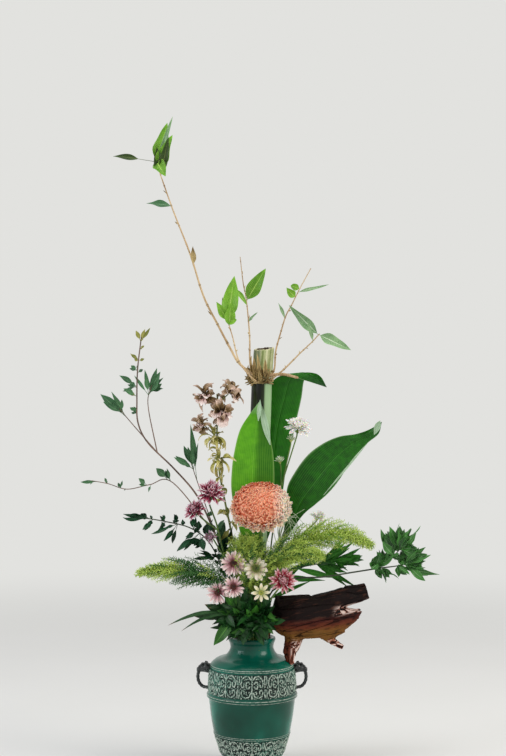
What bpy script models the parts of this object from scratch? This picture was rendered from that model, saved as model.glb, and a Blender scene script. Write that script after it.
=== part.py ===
# A Chinese flower arrangement: bamboo, broad leaves, chrysanthemums and driftwood in a bronze-style vase.
# Metres, +Z up, the centre of the vase's underside at the origin, the arrangement's front facing -Y.
import math

import bmesh
import bpy
from mathutils import Vector

# ---- driving dimensions ----
GAP = 0.0003               # clearance between pieces that touch
VASE_SIDES = 28
VASE_FLOOR = 0.0120        # height of the floor inside the vase
SEAT_GAP = 0.0005          # between a bloom and the end of its stem
STEM_FOOT = VASE_FLOOR + GAP
CULM_RADIUS = 0.0165
CULM_WALL = 0.0040
CULM_TOP = 0.6736
CULM_NODE = 0.6240         # the ring the branches grow from
CULM_RING_SWELL = 1.07     # how far the ring stands out from the culm
CULM_SLANT = 0.0080        # how far the cut at the top falls from one side to the other
LEAF_THICKNESS = 0.0012
ORCHID_HEART = 0.0042
MUM_CALYX = 1.18           # how far a chrysanthemum's calyx reaches behind it, in half heights
DAISY_CALYX = 0.34         # and a daisy's, in radii
FOOT_SPREAD = 1.3         # how far apart the stems stand on the floor, against in the mouth
MERGE = 0.000001
SMOOTH_BELOW = math.radians(50)
GOLDEN_TURN = 2.399

# radius, height of the vase's outside from the underside up to the lip
VASE_OUTSIDE = (
    (0.0504, 0.0000), (0.0500, 0.0060), (0.0464, 0.0110), (0.0440, 0.0180), (0.0456, 0.0225),
    (0.0500, 0.0245), (0.0536, 0.0370), (0.0598, 0.0560), (0.0612, 0.0575), (0.0612, 0.0605),
    (0.0656, 0.0850), (0.0693, 0.1145), (0.0718, 0.1160), (0.0718, 0.1205), (0.0701, 0.1225),
    (0.0690, 0.1470), (0.0664, 0.1630), (0.0666, 0.1660), (0.0640, 0.1700), (0.0570, 0.1755),
    (0.0470, 0.1785), (0.0400, 0.1830), (0.0350, 0.1910), (0.0348, 0.1980), (0.0376, 0.2060),
    (0.0372, 0.2095), (0.0345, 0.2104),
)
# and its inside, from the lip back down to the floor
VASE_INSIDE = (
    (0.0312, 0.2095), (0.0296, 0.2030), (0.0298, 0.1880), (0.0360, 0.1790), (0.0520, 0.1715),
    (0.0610, 0.1580), (0.0640, 0.1270), (0.0600, 0.0850), (0.0480, 0.0350), (0.0370, 0.0120),
)

# colour, roughness of each real finish
FINISHES = {
    "teal_glaze": ((0.045, 0.22, 0.15), 0.30),
    "dark_bronze": ((0.020, 0.022, 0.022), 0.35),
    "driftwood_bark": ((0.10, 0.045, 0.025), 0.70),
    "bamboo_culm_green": ((0.33, 0.42, 0.20), 0.45),
    "bamboo_twig": ((0.42, 0.36, 0.18), 0.55),
    "bamboo_husk": ((0.35, 0.24, 0.12), 0.80),
    "bamboo_leaf": ((0.16, 0.40, 0.08), 0.50),
    "aspidistra_leaf": ((0.04, 0.26, 0.03), 0.35),
    "green_stem": ((0.10, 0.22, 0.06), 0.55),
    "peach_petal": ((0.85, 0.36, 0.19), 0.60),
    "orchid_petal": ((0.36, 0.32, 0.14), 0.55),
    "purple_petal": ((0.55, 0.12, 0.28), 0.55),
    "red_petal": ((0.60, 0.09, 0.16), 0.55),
    "pink_petal": ((0.66, 0.36, 0.38), 0.55),
    "cream_petal": ((0.72, 0.68, 0.48), 0.55),
    "white_petal": ((0.80, 0.76, 0.76), 0.55),
    "woody_leaf": ((0.05, 0.14, 0.06), 0.55),
    "dark_leaf": ((0.02, 0.09, 0.035), 0.45),
    "plume_green": ((0.32, 0.44, 0.08), 0.65),
    "pale_grass": ((0.42, 0.48, 0.30), 0.60),
}


# ---- scene and material ----
def clear_scene():
    for item in list(bpy.data.objects):
        bpy.data.objects.remove(item, do_unlink=True)


def finish_material(name, finish):
    colour, roughness = FINISHES[finish]
    material = bpy.data.materials.new(name + "." + finish)
    material.use_nodes = True
    shader = material.node_tree.nodes["Principled BSDF"]
    shader.inputs["Base Color"].default_value = (*colour, 1.0)
    shader.inputs["Roughness"].default_value = roughness
    return material


# ---- curves in space ----
def smooth_route(points, per_span=2):
    # a Catmull-Rom curve through the points
    knots = [Vector(p) for p in points]
    if len(knots) < 3 or per_span < 2:
        return knots
    ends = [knots[0] * 2 - knots[1]] + knots + [knots[-1] * 2 - knots[-2]]
    route = []
    for a, b, c, d in zip(ends, ends[1:], ends[2:], ends[3:]):
        for step in range(per_span):
            t = step / per_span
            route.append(0.5 * (2 * b + (c - a) * t + (2 * a - 5 * b + 4 * c - d) * t * t
                                + (3 * b - a - 3 * c + d) * t * t * t))
    route.append(knots[-1])
    return route


def route_lengths(route):
    total = [0.0]
    for a, b in zip(route, route[1:]):
        total.append(total[-1] + (b - a).length)
    return total


def point_on(route, fraction):
    lengths = route_lengths(route)
    wanted = fraction * lengths[-1]
    for i in range(1, len(route)):
        if wanted <= lengths[i] or i == len(route) - 1:
            span = lengths[i] - lengths[i - 1]
            return route[i - 1].lerp(route[i], (wanted - lengths[i - 1]) / span)


def tangents_of(route):
    result = []
    for i in range(len(route)):
        before = route[max(i - 1, 0)]
        after = route[min(i + 1, len(route) - 1)]
        result.append((after - before).normalized())
    return result


def any_side(direction):
    other = Vector((0, 0, 1)) if abs(direction.z) < 0.9 else Vector((1, 0, 0))
    return direction.cross(other).normalized()


# ---- shapes: each a closed (vertices, faces) pair ----
def loft(rings):
    # joins rings of equal length; a ring of one vertex closes an end to a point
    vertices, faces, starts = [], [], []
    for ring in rings:
        starts.append(len(vertices))
        vertices.extend(ring)
    for i in range(len(rings) - 1):
        a, b = rings[i], rings[i + 1]
        count = max(len(a), len(b))
        for j in range(count):
            k = (j + 1) % count
            if len(a) == 1:
                faces.append((starts[i], starts[i + 1] + j, starts[i + 1] + k))
            elif len(b) == 1:
                faces.append((starts[i] + j, starts[i + 1], starts[i] + k))
            else:
                faces.append((starts[i] + j, starts[i + 1] + j, starts[i + 1] + k, starts[i] + k))
    if len(rings[0]) > 1:
        faces.append(tuple(starts[0] + j for j in range(len(rings[0]))))
    if len(rings[-1]) > 1:
        faces.append(tuple(starts[-1] + j for j in reversed(range(len(rings[-1])))))
    return vertices, faces


def tube(route, radius_start, radius_end, sides=6):
    # a round stem along the route, its frame carried along without twist
    tangents = tangents_of(route)
    lengths = route_lengths(route)
    side = any_side(tangents[0])
    rings = []
    for point, tangent, length in zip(route, tangents, lengths):
        side = (side - tangent * side.dot(tangent)).normalized()
        up = tangent.cross(side)
        share = length / lengths[-1]
        radius = radius_start + (radius_end - radius_start) * share
        ring = []
        for j in range(sides):
            angle = 2 * math.pi * j / sides
            ring.append(point + (side * math.cos(angle) + up * math.sin(angle)) * radius)
        rings.append(ring)
    return loft(rings)


def blade(base, tip, width, facing, sag=0.0, stalk=0.12, cup=-0.25, stations=4,
          thickness=LEAF_THICKNESS, widest=0.42):
    # a pointed leaf: a thin stalk, then a blade thickest along its midrib
    base, tip, facing = Vector(base), Vector(tip), Vector(facing).normalized()
    between = base.lerp(tip, 0.5) + Vector((0, 0, -sag))
    steps = blade_steps(stalk, stations)
    bend = 2 * between - (base + tip) * 0.5
    route = [base * (1 - t) ** 2 + bend * 2 * t * (1 - t) + tip * t ** 2 for t in steps]
    tangents = tangents_of(route)
    rings = []
    for point, tangent, t in zip(route, tangents, steps):
        side = tangent.cross(facing)
        side = side.normalized() if side.length > 0.05 else any_side(tangent)
        up = side.cross(tangent)
        half = blade_half_width(t, stalk, width, widest)
        thick = thickness * (1.0 if t > stalk else 1.2)
        lift = cup * half if t > stalk else 0.0
        if t > 0.9999:
            rings.append([point])
        else:
            rings.append([point + side * half + up * lift, point + up * thick,
                          point - side * half + up * lift])
    return loft(rings)


def blade_steps(stalk, stations):
    # a leaf with no stalk starts at its blade
    body = [stalk + (1 - stalk) * s / stations for s in range(stations + 1)]
    return [0.0] + body if stalk > 0 else body


def blade_half_width(t, stalk, width, widest):
    if t <= stalk:
        return 0.0009
    share = (t - stalk) / (1 - stalk)
    if share < widest:
        return 0.5 * width * max(0.0, math.sin(0.5 * math.pi * share / widest)) ** 0.8
    return 0.5 * width * max(0.0, math.cos(0.5 * math.pi * (share - widest) / (1 - widest))) ** 0.9


def ball(centre, radii, sides=8, rings=5, wobble=0.0):
    # an ellipsoid, its surface made uneven by wobble
    centre = Vector(centre)
    layers = [[centre + Vector((0, 0, -radii[2]))]]
    for i in range(1, rings):
        polar = math.pi * i / rings
        layer = []
        for j in range(sides):
            angle = 2 * math.pi * (j + 0.5 * (i % 2)) / sides
            scale = 1 + wobble * math.sin(3 * angle + 2.3 * i)
            layer.append(centre + Vector((radii[0] * math.sin(polar) * math.cos(angle) * scale,
                                          radii[1] * math.sin(polar) * math.sin(angle) * scale,
                                          -radii[2] * math.cos(polar))))
        layers.append(layer)
    layers.append([centre + Vector((0, 0, radii[2]))])
    return loft(layers)


def limb(stations, sides=10, gnarl=0.10):
    # a piece of old wood: (x, y, z, half height, half depth) along a bent axis
    centres = [Vector(s[:3]) for s in stations]
    tangents = tangents_of(centres)
    rings = []
    for i, (station, tangent) in enumerate(zip(stations, tangents)):
        across = Vector((0, 1, 0))
        across = (across - tangent * across.dot(tangent)).normalized()
        up = across.cross(tangent)
        ring = []
        for j in range(sides):
            angle = 2 * math.pi * j / sides
            rough = 1 + gnarl * math.sin(2.7 * angle + 1.9 * i) * math.cos(1.3 * i + 0.6)
            ring.append(centres[i] + across * math.cos(angle) * station[4] * rough
                        + up * math.sin(angle) * station[3] * rough)
        rings.append(ring)
    return loft(rings)


def bloom_frame(axis):
    axis = Vector(axis).normalized()
    side = any_side(axis)
    return axis, side, axis.cross(side)


def lobed_ring(centre, frame, radius, height, lobes, depth, phase=0.0):
    # two vertices per petal: its tip and the notch beside it
    axis, side, up = frame
    ring = []
    for j in range(lobes * 2):
        angle = math.pi * (j + phase) / lobes
        reach = radius * (1.0 if j % 2 == 0 else 1.0 - depth)
        ring.append(centre + axis * height + (side * math.cos(angle) + up * math.sin(angle)) * reach)
    return ring


def daisy(centre, axis, radius, petals, cup=0.12):
    # a single row of petals round a domed middle, on a short calyx
    frame = bloom_frame(axis)
    c, r, n = Vector(centre), radius, petals
    return loft([
        [c - frame[0] * DAISY_CALYX * r],
        lobed_ring(c, frame, 0.13 * r, -DAISY_CALYX * r, n, 0.0),
        lobed_ring(c, frame, 0.24 * r, -0.12 * r, n, 0.0),
        lobed_ring(c, frame, 0.62 * r, (0.5 * cup - 0.07) * r, n, 0.10),
        lobed_ring(c, frame, 1.00 * r, cup * r, n, 0.30),
        lobed_ring(c, frame, 0.60 * r, (0.5 * cup + 0.04) * r, n, 0.10),
        lobed_ring(c, frame, 0.27 * r, 0.03 * r, n, 0.0),
        lobed_ring(c, frame, 0.20 * r, 0.12 * r, n, 0.0),
        [c + frame[0] * 0.14 * r],
    ])


def mum(centre, axis, radius, half_height, lobes, layers, depth=0.14, dimple=0.25):
    # rows of petals stacked into a ball, each row half a petal out of step with the last
    frame = bloom_frame(axis)
    c = Vector(centre)
    rings = [[c - frame[0] * (half_height * MUM_CALYX)],
             lobed_ring(c, frame, 0.16 * radius, -MUM_CALYX * half_height, lobes, 0.0),
             lobed_ring(c, frame, 0.22 * radius, -0.95 * half_height, lobes, 0.0)]
    for layer in range(layers):
        low = -0.72 + 1.52 * layer / (layers - 1)
        reach = math.sqrt(1 - min(0.96, abs(low)) ** 2) ** 0.8
        shift = float(layer % 2)
        rings.append(lobed_ring(c, frame, 0.88 * reach * radius, (low - 0.10) * half_height,
                                lobes, 0.02, shift))
        rings.append(lobed_ring(c, frame, 1.00 * reach * radius, (low + 0.12) * half_height,
                                lobes, depth, shift))
    rings.append(lobed_ring(c, frame, 0.22 * radius, (0.95 - dimple * 0.4) * half_height, lobes, 0.1))
    rings.append([c + frame[0] * (0.95 - dimple) * half_height])
    return loft(rings)


def bud(centre, axis, radius, length):
    frame = bloom_frame(axis)
    c = Vector(centre)
    return loft([
        [c],
        lobed_ring(c, frame, 0.55 * radius, 0.0, 4, 0.0),
        lobed_ring(c, frame, 1.00 * radius, 0.4 * length, 4, 0.12),
        lobed_ring(c, frame, 0.70 * radius, 0.85 * length, 4, 0.25),
        [c + frame[0] * length],
    ])


def lathe(profile, sides=VASE_SIDES):
    # closed by the centre points at both ends of the profile
    rings = [[Vector((0, 0, profile[0][1]))]]
    for radius, height in profile:
        rings.append([Vector((radius * math.cos(2 * math.pi * j / sides),
                              radius * math.sin(2 * math.pi * j / sides), height))
                      for j in range(sides)])
    rings.append([Vector((0, 0, profile[-1][1]))])
    return loft(rings)


# ---- solids ----
def face_outward(work):
    # the whole body is turned round if its volume comes out negative
    bmesh.ops.recalc_face_normals(work, faces=work.faces)
    if work.calc_volume(signed=True) < 0:
        bmesh.ops.reverse_faces(work, faces=work.faces)


def mesh_object(name, shape):
    mesh = bpy.data.meshes.new(name)
    mesh.from_pydata([tuple(v) for v in shape[0]], [], shape[1])
    work = bmesh.new()
    work.from_mesh(mesh)
    bmesh.ops.triangulate(work, faces=[f for f in work.faces if len(f.verts) > 4])
    face_outward(work)
    work.to_mesh(mesh)
    work.free()
    item = bpy.data.objects.new(name, mesh)
    bpy.context.scene.collection.objects.link(item)
    return item


def apply_boolean(item, shapes, operation):
    # joins the shapes to the item, or cuts them from it, then tidies the result
    helpers = bpy.data.collections.new("helpers")
    bpy.context.scene.collection.children.link(helpers)
    for shape in shapes:
        helper = mesh_object(item.name + "_helper", shape)
        bpy.context.scene.collection.objects.unlink(helper)
        helpers.objects.link(helper)
    modifier = item.modifiers.new("join", "BOOLEAN")
    modifier.operation = operation
    modifier.operand_type = "COLLECTION"
    modifier.collection = helpers
    ways = [(solver, corners) for solver in ("EXACT", "MANIFOLD") for corners in ("BEAUTY", "EAR_CLIP")]
    for solver, corners in ways:
        modifier.solver = solver
        graph = bpy.context.evaluated_depsgraph_get()
        joined = bpy.data.meshes.new_from_object(item.evaluated_get(graph))
        tidy_mesh(joined, corners)
        if is_closed(joined):
            break
    item.modifiers.clear()
    item.data = joined
    for helper in list(helpers.objects):
        bpy.data.objects.remove(helper, do_unlink=True)
    bpy.data.collections.remove(helpers)


def is_closed(mesh):
    work = bmesh.new()
    work.from_mesh(mesh)
    closed = len(work.edges) > 0 and all(len(edge.link_faces) == 2 for edge in work.edges)
    work.free()
    return closed


def tidy_mesh(mesh, corners):
    # vertices between only two edges are dissolved, so that no two faces share a diagonal
    work = bmesh.new()
    work.from_mesh(mesh)
    bmesh.ops.remove_doubles(work, verts=work.verts, dist=MERGE)
    bmesh.ops.dissolve_verts(work, verts=[v for v in work.verts if len(v.link_edges) == 2])
    bmesh.ops.triangulate(work, faces=work.faces, ngon_method=corners)
    bmesh.ops.dissolve_degenerate(work, edges=work.edges, dist=MERGE)
    bmesh.ops.triangulate(work, faces=work.faces, ngon_method=corners)
    face_outward(work)
    work.to_mesh(mesh)
    work.free()


def solid(name, finish, shapes, cuts=()):
    # one closed body made of overlapping shapes
    item = mesh_object(name, shapes[0])
    if len(shapes) > 1:
        apply_boolean(item, shapes[1:], "UNION")
    if cuts:
        apply_boolean(item, list(cuts), "DIFFERENCE")
    item.data.shade_smooth()
    item.data.set_sharp_from_angle(angle=SMOOTH_BELOW)
    item.data.materials.clear()
    item.data.materials.append(finish_material(name, finish))
    return item


def stem_route(slot, points, per_span=1):
    # stands on the vase's floor, comes up through its place in the mouth, then follows the points
    x, y = slot
    halfway = 1 + 0.4 * (FOOT_SPREAD - 1)
    foot = [(x * FOOT_SPREAD, y * FOOT_SPREAD, STEM_FOOT), (x * halfway, y * halfway, 0.120), (x, y, 0.205)]
    return smooth_route(foot + list(points), per_span)


def leaves_along(route, leaves, facing=(0, -1, 0.35), stalk=0.12, cup=-0.25, stations=2):
    # leaves given as (place along the route, tip, width)
    shapes = []
    for place, tip, width in leaves:
        shapes.append(blade(point_on(route, place), tip, width, facing, sag=-0.002, stalk=stalk,
                            cup=cup, stations=stations))
    return shapes


def fronds_along(route, count, start, length, width, rise=0.5, taper=0.55):
    # short feathery fronds spiralling round a stem
    shapes = []
    tangents = tangents_of(route)
    lengths = route_lengths(route)
    for i in range(count):
        place = start + (0.985 - start) * i / (count - 1)
        base = point_on(route, place)
        nearest = min(range(len(route)), key=lambda k: abs(lengths[k] / lengths[-1] - place))
        along = tangents[nearest]
        side = any_side(along)
        up = along.cross(side)
        turn = GOLDEN_TURN * i + 0.4
        out = side * math.cos(turn) + up * math.sin(turn) * 0.6
        reach = length * (1 - taper * abs(2 * place - 1) ** 1.6)
        tip = base + (along * (1 - rise) + out * rise).normalized() * reach
        shapes.append(blade(base, tip, width, along.cross(out), sag=0.001, stalk=0.0, stations=2))
    return shapes


# ---- the vase ----
def vase_cutter():
    # the vase's wall grown by the clearance, to seat pieces against it
    outside = [(r + GAP, z + (GAP if z > 0.2 else 0.0)) for r, z in VASE_OUTSIDE]
    inside = [(r - GAP, z + (GAP if z > 0.2 else 0.0)) for r, z in VASE_INSIDE]
    return lathe(outside + inside)


def build_vase():
    solid("vase_body", "teal_glaze", [lathe(VASE_OUTSIDE + VASE_INSIDE)])
    for side, name in ((-1, "handle_left"), (1, "handle_right")):
        solid(name, "dark_bronze", handle_shapes(side), cuts=[vase_cutter()])


def handle_shapes(side):
    # an animal's head with a strap curling from its mouth down to the band
    reach = 0.0865
    loop = smooth_route([
        (side * 0.076, 0, 0.1560), (side * (reach - 0.003), 0, 0.1570), (side * reach, 0, 0.1490),
        (side * (reach - 0.0015), 0, 0.1385), (side * 0.0790, 0, 0.1310), (side * 0.0685, 0, 0.1290),
    ], 2)
    head = limb([
        (side * 0.0640, 0, 0.1600, 0.0080, 0.0080), (side * 0.0740, 0, 0.1605, 0.0078, 0.0075),
        (side * 0.0820, 0, 0.1600, 0.0065, 0.0060), (side * (reach + 0.002), 0, 0.1570, 0.0035, 0.0040),
    ], sides=10, gnarl=0.0)
    ears = [blade((side * 0.0740, y, 0.1640), (side * 0.0755, y * 1.9, 0.1725), 0.0050, (0, 0, 1),
                  stalk=0.05, thickness=0.003, stations=3) for y in (-0.0045, 0.0045)]
    return [tube(loop, 0.0026, 0.0026, 6), head] + ears


# ---- the driftwood leaning over the rim ----
def build_driftwood():
    trunk = limb([
        (0.0310, -0.008, 0.2330, 0.0070, 0.0080), (0.0370, -0.008, 0.2320, 0.0190, 0.0160),
        (0.0500, -0.009, 0.2410, 0.0370, 0.0230), (0.0700, -0.010, 0.2430, 0.0355, 0.0280),
        (0.1000, -0.010, 0.2430, 0.0350, 0.0290), (0.1250, -0.010, 0.2440, 0.0350, 0.0260),
        (0.1420, -0.010, 0.2480, 0.0300, 0.0200),
    ], sides=12, gnarl=0.07)
    upper_prong = limb([
        (0.1000, -0.008, 0.2580, 0.0190, 0.0220), (0.1300, -0.008, 0.2700, 0.0160, 0.0200),
        (0.1560, -0.007, 0.2770, 0.0160, 0.0160), (0.1720, -0.006, 0.2810, 0.0150, 0.0125),
        (0.1840, -0.006, 0.2845, 0.0130, 0.0080),
    ], sides=10)
    lower_prong = limb([
        (0.1100, -0.014, 0.2350, 0.0260, 0.0200), (0.1350, -0.014, 0.2390, 0.0230, 0.0180),
        (0.1530, -0.013, 0.2440, 0.0160, 0.0130), (0.1660, -0.012, 0.2490, 0.0090, 0.0085),
        (0.1740, -0.012, 0.2550, 0.0030, 0.0030),
    ], sides=10)
    leg = limb([
        (0.0680, -0.015, 0.2200, 0.0170, 0.0150), (0.0640, -0.016, 0.1990, 0.0135, 0.0120),
        (0.0590, -0.017, 0.1870, 0.0115, 0.0100), (0.0605, -0.018, 0.1770, 0.0075, 0.0075),
        (0.0620, -0.018, 0.1690, 0.0055, 0.0055),
    ], sides=9)
    stub = limb([
        (0.1120, -0.014, 0.2180, 0.0100, 0.0100), (0.1280, -0.015, 0.2060, 0.0070, 0.0070),
        (0.1450, -0.015, 0.1950, 0.0040, 0.0040),
    ], sides=8)
    hook = tube(smooth_route([
        (0.0480, -0.007, 0.2360), (0.0340, -0.005, 0.2290), (0.0262, -0.003, 0.2190),
        (0.0240, -0.003, 0.2050), (0.0238, -0.003, 0.1600),
    ], 2), 0.0060, 0.0030, 8)
    solid("driftwood", "driftwood_bark", [trunk, upper_prong, lower_prong, leg, stub, hook],
          cuts=[vase_cutter()])


# ---- bamboo ----
CULM_AXIS = ((-0.0020, 0.0030, STEM_FOOT), (0.0020, 0.0050, 0.2050), (0.0090, 0.0100, 0.4150),
             (0.0160, 0.0150, CULM_NODE), (0.0195, 0.0165, CULM_TOP))


def culm_centre(height):
    for a, b in zip(CULM_AXIS, CULM_AXIS[1:]):
        if height <= b[2] or b is CULM_AXIS[-1]:
            return Vector(a).lerp(Vector(b), (height - a[2]) / (b[2] - a[2]))


def culm_ring(height, radius, slant=0.0, sides=14):
    centre = culm_centre(height)
    ring = []
    for j in range(sides):
        angle = 2 * math.pi * j / sides
        away = Vector((math.cos(angle), math.sin(angle), 0))
        drop = slant * (0.5 + 0.5 * (-away.x * 0.6 - away.y * 0.8))
        ring.append(centre + away * radius - Vector((0, 0, drop)))
    return ring


def build_culm():
    # hollow below the ring and open above it, cut at a slant at the top
    outer, inner, ridge = CULM_RADIUS, CULM_RADIUS - CULM_WALL, CULM_RADIUS * CULM_RING_SWELL
    floor_under, floor_over = CULM_NODE - 0.010, CULM_NODE + 0.002
    rings = [[culm_centre(floor_under)], culm_ring(floor_under, inner)]
    rings += [culm_ring(h, inner) for h in (0.415, 0.205)]
    rings += [culm_ring(STEM_FOOT, inner), culm_ring(STEM_FOOT, outer * 0.97)]
    rings += [culm_ring(h, outer) for h in (0.205, 0.415, CULM_NODE - 0.006)]
    rings += [culm_ring(CULM_NODE - 0.002, ridge), culm_ring(CULM_NODE + 0.001, ridge)]
    rings += [culm_ring(CULM_NODE + 0.004, outer), culm_ring(CULM_TOP, outer, CULM_SLANT)]
    rings += [culm_ring(CULM_TOP, inner, CULM_SLANT), culm_ring(floor_over, inner)]
    rings.append([culm_centre(floor_over)])
    solid("bamboo_culm", "bamboo_culm_green", [loft(rings)])


def culm_cutter():
    # the culm's upper end grown by the clearance, to seat what grows round it
    clear, ridge = CULM_RADIUS + GAP, CULM_RADIUS * CULM_RING_SWELL + GAP
    return loft([
        culm_ring(0.560, clear), culm_ring(CULM_NODE - 0.006, clear),
        culm_ring(CULM_NODE - 0.002, ridge), culm_ring(CULM_NODE + 0.001, ridge),
        culm_ring(CULM_NODE + 0.004, clear), culm_ring(CULM_TOP + 0.002, clear),
    ])


def twig(name, route, thick, thin, leaves=(), extra=(), facing=(0, -1, 0.35), cuts=()):
    shapes = [tube(route, thick, thin, 5)]
    shapes += leaves_along(route, leaves, facing, stations=3)
    shapes += list(extra)
    return solid(name, "bamboo_twig", shapes, cuts)


def build_bamboo_branches():
    cutter = [culm_cutter()]
    long_route = smooth_route([
        (0.012, 0.011, 0.622), (0.002, 0.000, 0.629), (-0.020, -0.010, 0.647), (-0.034, -0.012, 0.670),
        (-0.053, -0.013, 0.706), (-0.077, -0.014, 0.754), (-0.098, -0.013, 0.820), (-0.125, -0.006, 0.889),
        (-0.145, 0.000, 0.945), (-0.155, 0.003, 0.974),
    ])
    twig("bamboo_branch_long", long_route, 0.0024, 0.0010, cuts=cutter, leaves=(
        (0.80, (-0.168, -0.012, 0.902), 0.012), (0.55, (-0.094, -0.020, 0.833), 0.008),
        (0.99, (-0.222, -0.004, 0.978), 0.012), (0.955, (-0.127, -0.004, 1.012), 0.020),
        (0.985, (-0.136, 0.010, 1.034), 0.020), (0.97, (-0.127, 0.004, 1.043), 0.007),
        (0.94, (-0.152, -0.006, 0.992), 0.014)))
    left_route = smooth_route([
        (0.014, 0.009, 0.616), (0.008, -0.004, 0.618), (-0.004, -0.018, 0.628),
        (-0.021, -0.025, 0.652), (-0.031, -0.026, 0.690), (-0.040, -0.026, 0.719),
    ])
    twig("bamboo_branch_left", left_route, 0.0018, 0.0009, cuts=cutter, leaves=(
        (0.97, (-0.056, -0.036, 0.744), 0.013), (0.96, (-0.028, -0.018, 0.786), 0.024),
        (0.90, (-0.034, -0.036, 0.742), 0.015), (0.93, (-0.047, -0.018, 0.752), 0.010)))
    upright_route = smooth_route([
        (0.004, 0.004, 0.634), (-0.003, 0.004, 0.648), (-0.004, 0.006, 0.694), (-0.009, 0.006, 0.749),
        (-0.014, 0.005, 0.775), (-0.019, 0.004, 0.818),
    ])
    twig("bamboo_twig_upright", upright_route, 0.0016, 0.0006, cuts=cutter, leaves=(
        (0.62, (0.022, -0.002, 0.799), 0.021), (0.58, (-0.030, -0.004, 0.770), 0.007),
        (0.44, (0.009, 0.000, 0.729), 0.004)))
    high_route = smooth_route([
        (0.030, 0.005, 0.626), (0.036, 0.000, 0.640), (0.038, 0.001, 0.667), (0.046, 0.002, 0.697),
        (0.054, 0.000, 0.723), (0.064, 0.000, 0.742), (0.077, -0.002, 0.768), (0.094, -0.004, 0.799),
    ])
    twig("bamboo_twig_right_high", high_route, 0.0016, 0.0006, cuts=cutter, leaves=(
        (0.72, (0.055, -0.010, 0.768), 0.010), (0.77, (0.123, 0.004, 0.774), 0.007),
        (0.52, (0.042, -0.006, 0.744), 0.005), (0.80, (0.062, 0.004, 0.772), 0.009)))
    low_route = smooth_route([
        (0.026, -0.001, 0.620), (0.036, -0.008, 0.626), (0.051, -0.012, 0.638), (0.077, -0.016, 0.664),
        (0.095, -0.018, 0.681), (0.107, -0.020, 0.694),
    ])
    twig("bamboo_twig_right_low", low_route, 0.0016, 0.0008, cuts=cutter, leaves=(
        (0.98, (0.059, -0.008, 0.740), 0.016), (0.985, (0.156, -0.034, 0.668), 0.016),
        (0.86, (0.088, -0.026, 0.712), 0.005)))
    spur = smooth_route([(0.028, -0.004, 0.6285), (0.050, -0.006, 0.6300), (0.073, -0.010, 0.6245)])
    twig("bamboo_spur", spur, 0.0028, 0.0018, cuts=cutter)


def build_sheath():
    # the tangle of husks, buds and root stubs below the ring
    cutter = [culm_cutter()]
    girth = ((0.0225, 0.0010), (0.0190, 0.0028), (0.0100, 0.0026), (0.0085, 0.0012))
    collar = loft([culm_ring(CULM_NODE - drop, CULM_RADIUS + out) for drop, out in girth])
    centre = culm_centre(CULM_NODE - 0.015)
    husks = []
    for i in range(7):
        angle = math.radians(150 + 35 * i)
        away = Vector((math.cos(angle), math.sin(angle), 0))
        base = centre + away * (CULM_RADIUS + 0.001)
        rise = 0.004 * math.sin(2.2 * i) - 0.004
        tip = centre + away * (CULM_RADIUS + 0.010 + 0.003 * math.cos(1.7 * i)) + Vector((0, 0, rise))
        husks.append(blade(base, tip, 0.0055, (0, 0, 1), stalk=0.0, thickness=0.002, stations=2))
    solid("bamboo_sheath", "bamboo_husk", [collar] + husks, cuts=cutter)


# ---- broad aspidistra leaves ----
def broad_leaf(name, slot, stem_points, stations):
    # stations: (left edge, midrib, right edge) from the blade's base to near its tip, then the tip
    stalk = stem_route(slot, stem_points)
    spans = [[Vector(point) for point in span] for span in stations[:-1]]
    tip = Vector(stations[-1])
    ahead = [middle for _, middle, _ in spans[1:]] + [tip]
    half = LEAF_THICKNESS * 0.5
    rings = []
    for (left, middle, right), following in zip(spans, ahead):
        normal = (right - left).cross(following - middle).normalized()
        rings.append([left, left.lerp(middle, 0.5) + normal * half, middle + normal * half * 2,
                      middle.lerp(right, 0.5) + normal * half, right,
                      middle.lerp(right, 0.5) - normal * half, middle - normal * half * 2,
                      left.lerp(middle, 0.5) - normal * half])
    rings.append([tip])
    return solid(name, "aspidistra_leaf", [loft(rings), tube(stalk, 0.0024, 0.0020, 6)])


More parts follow.
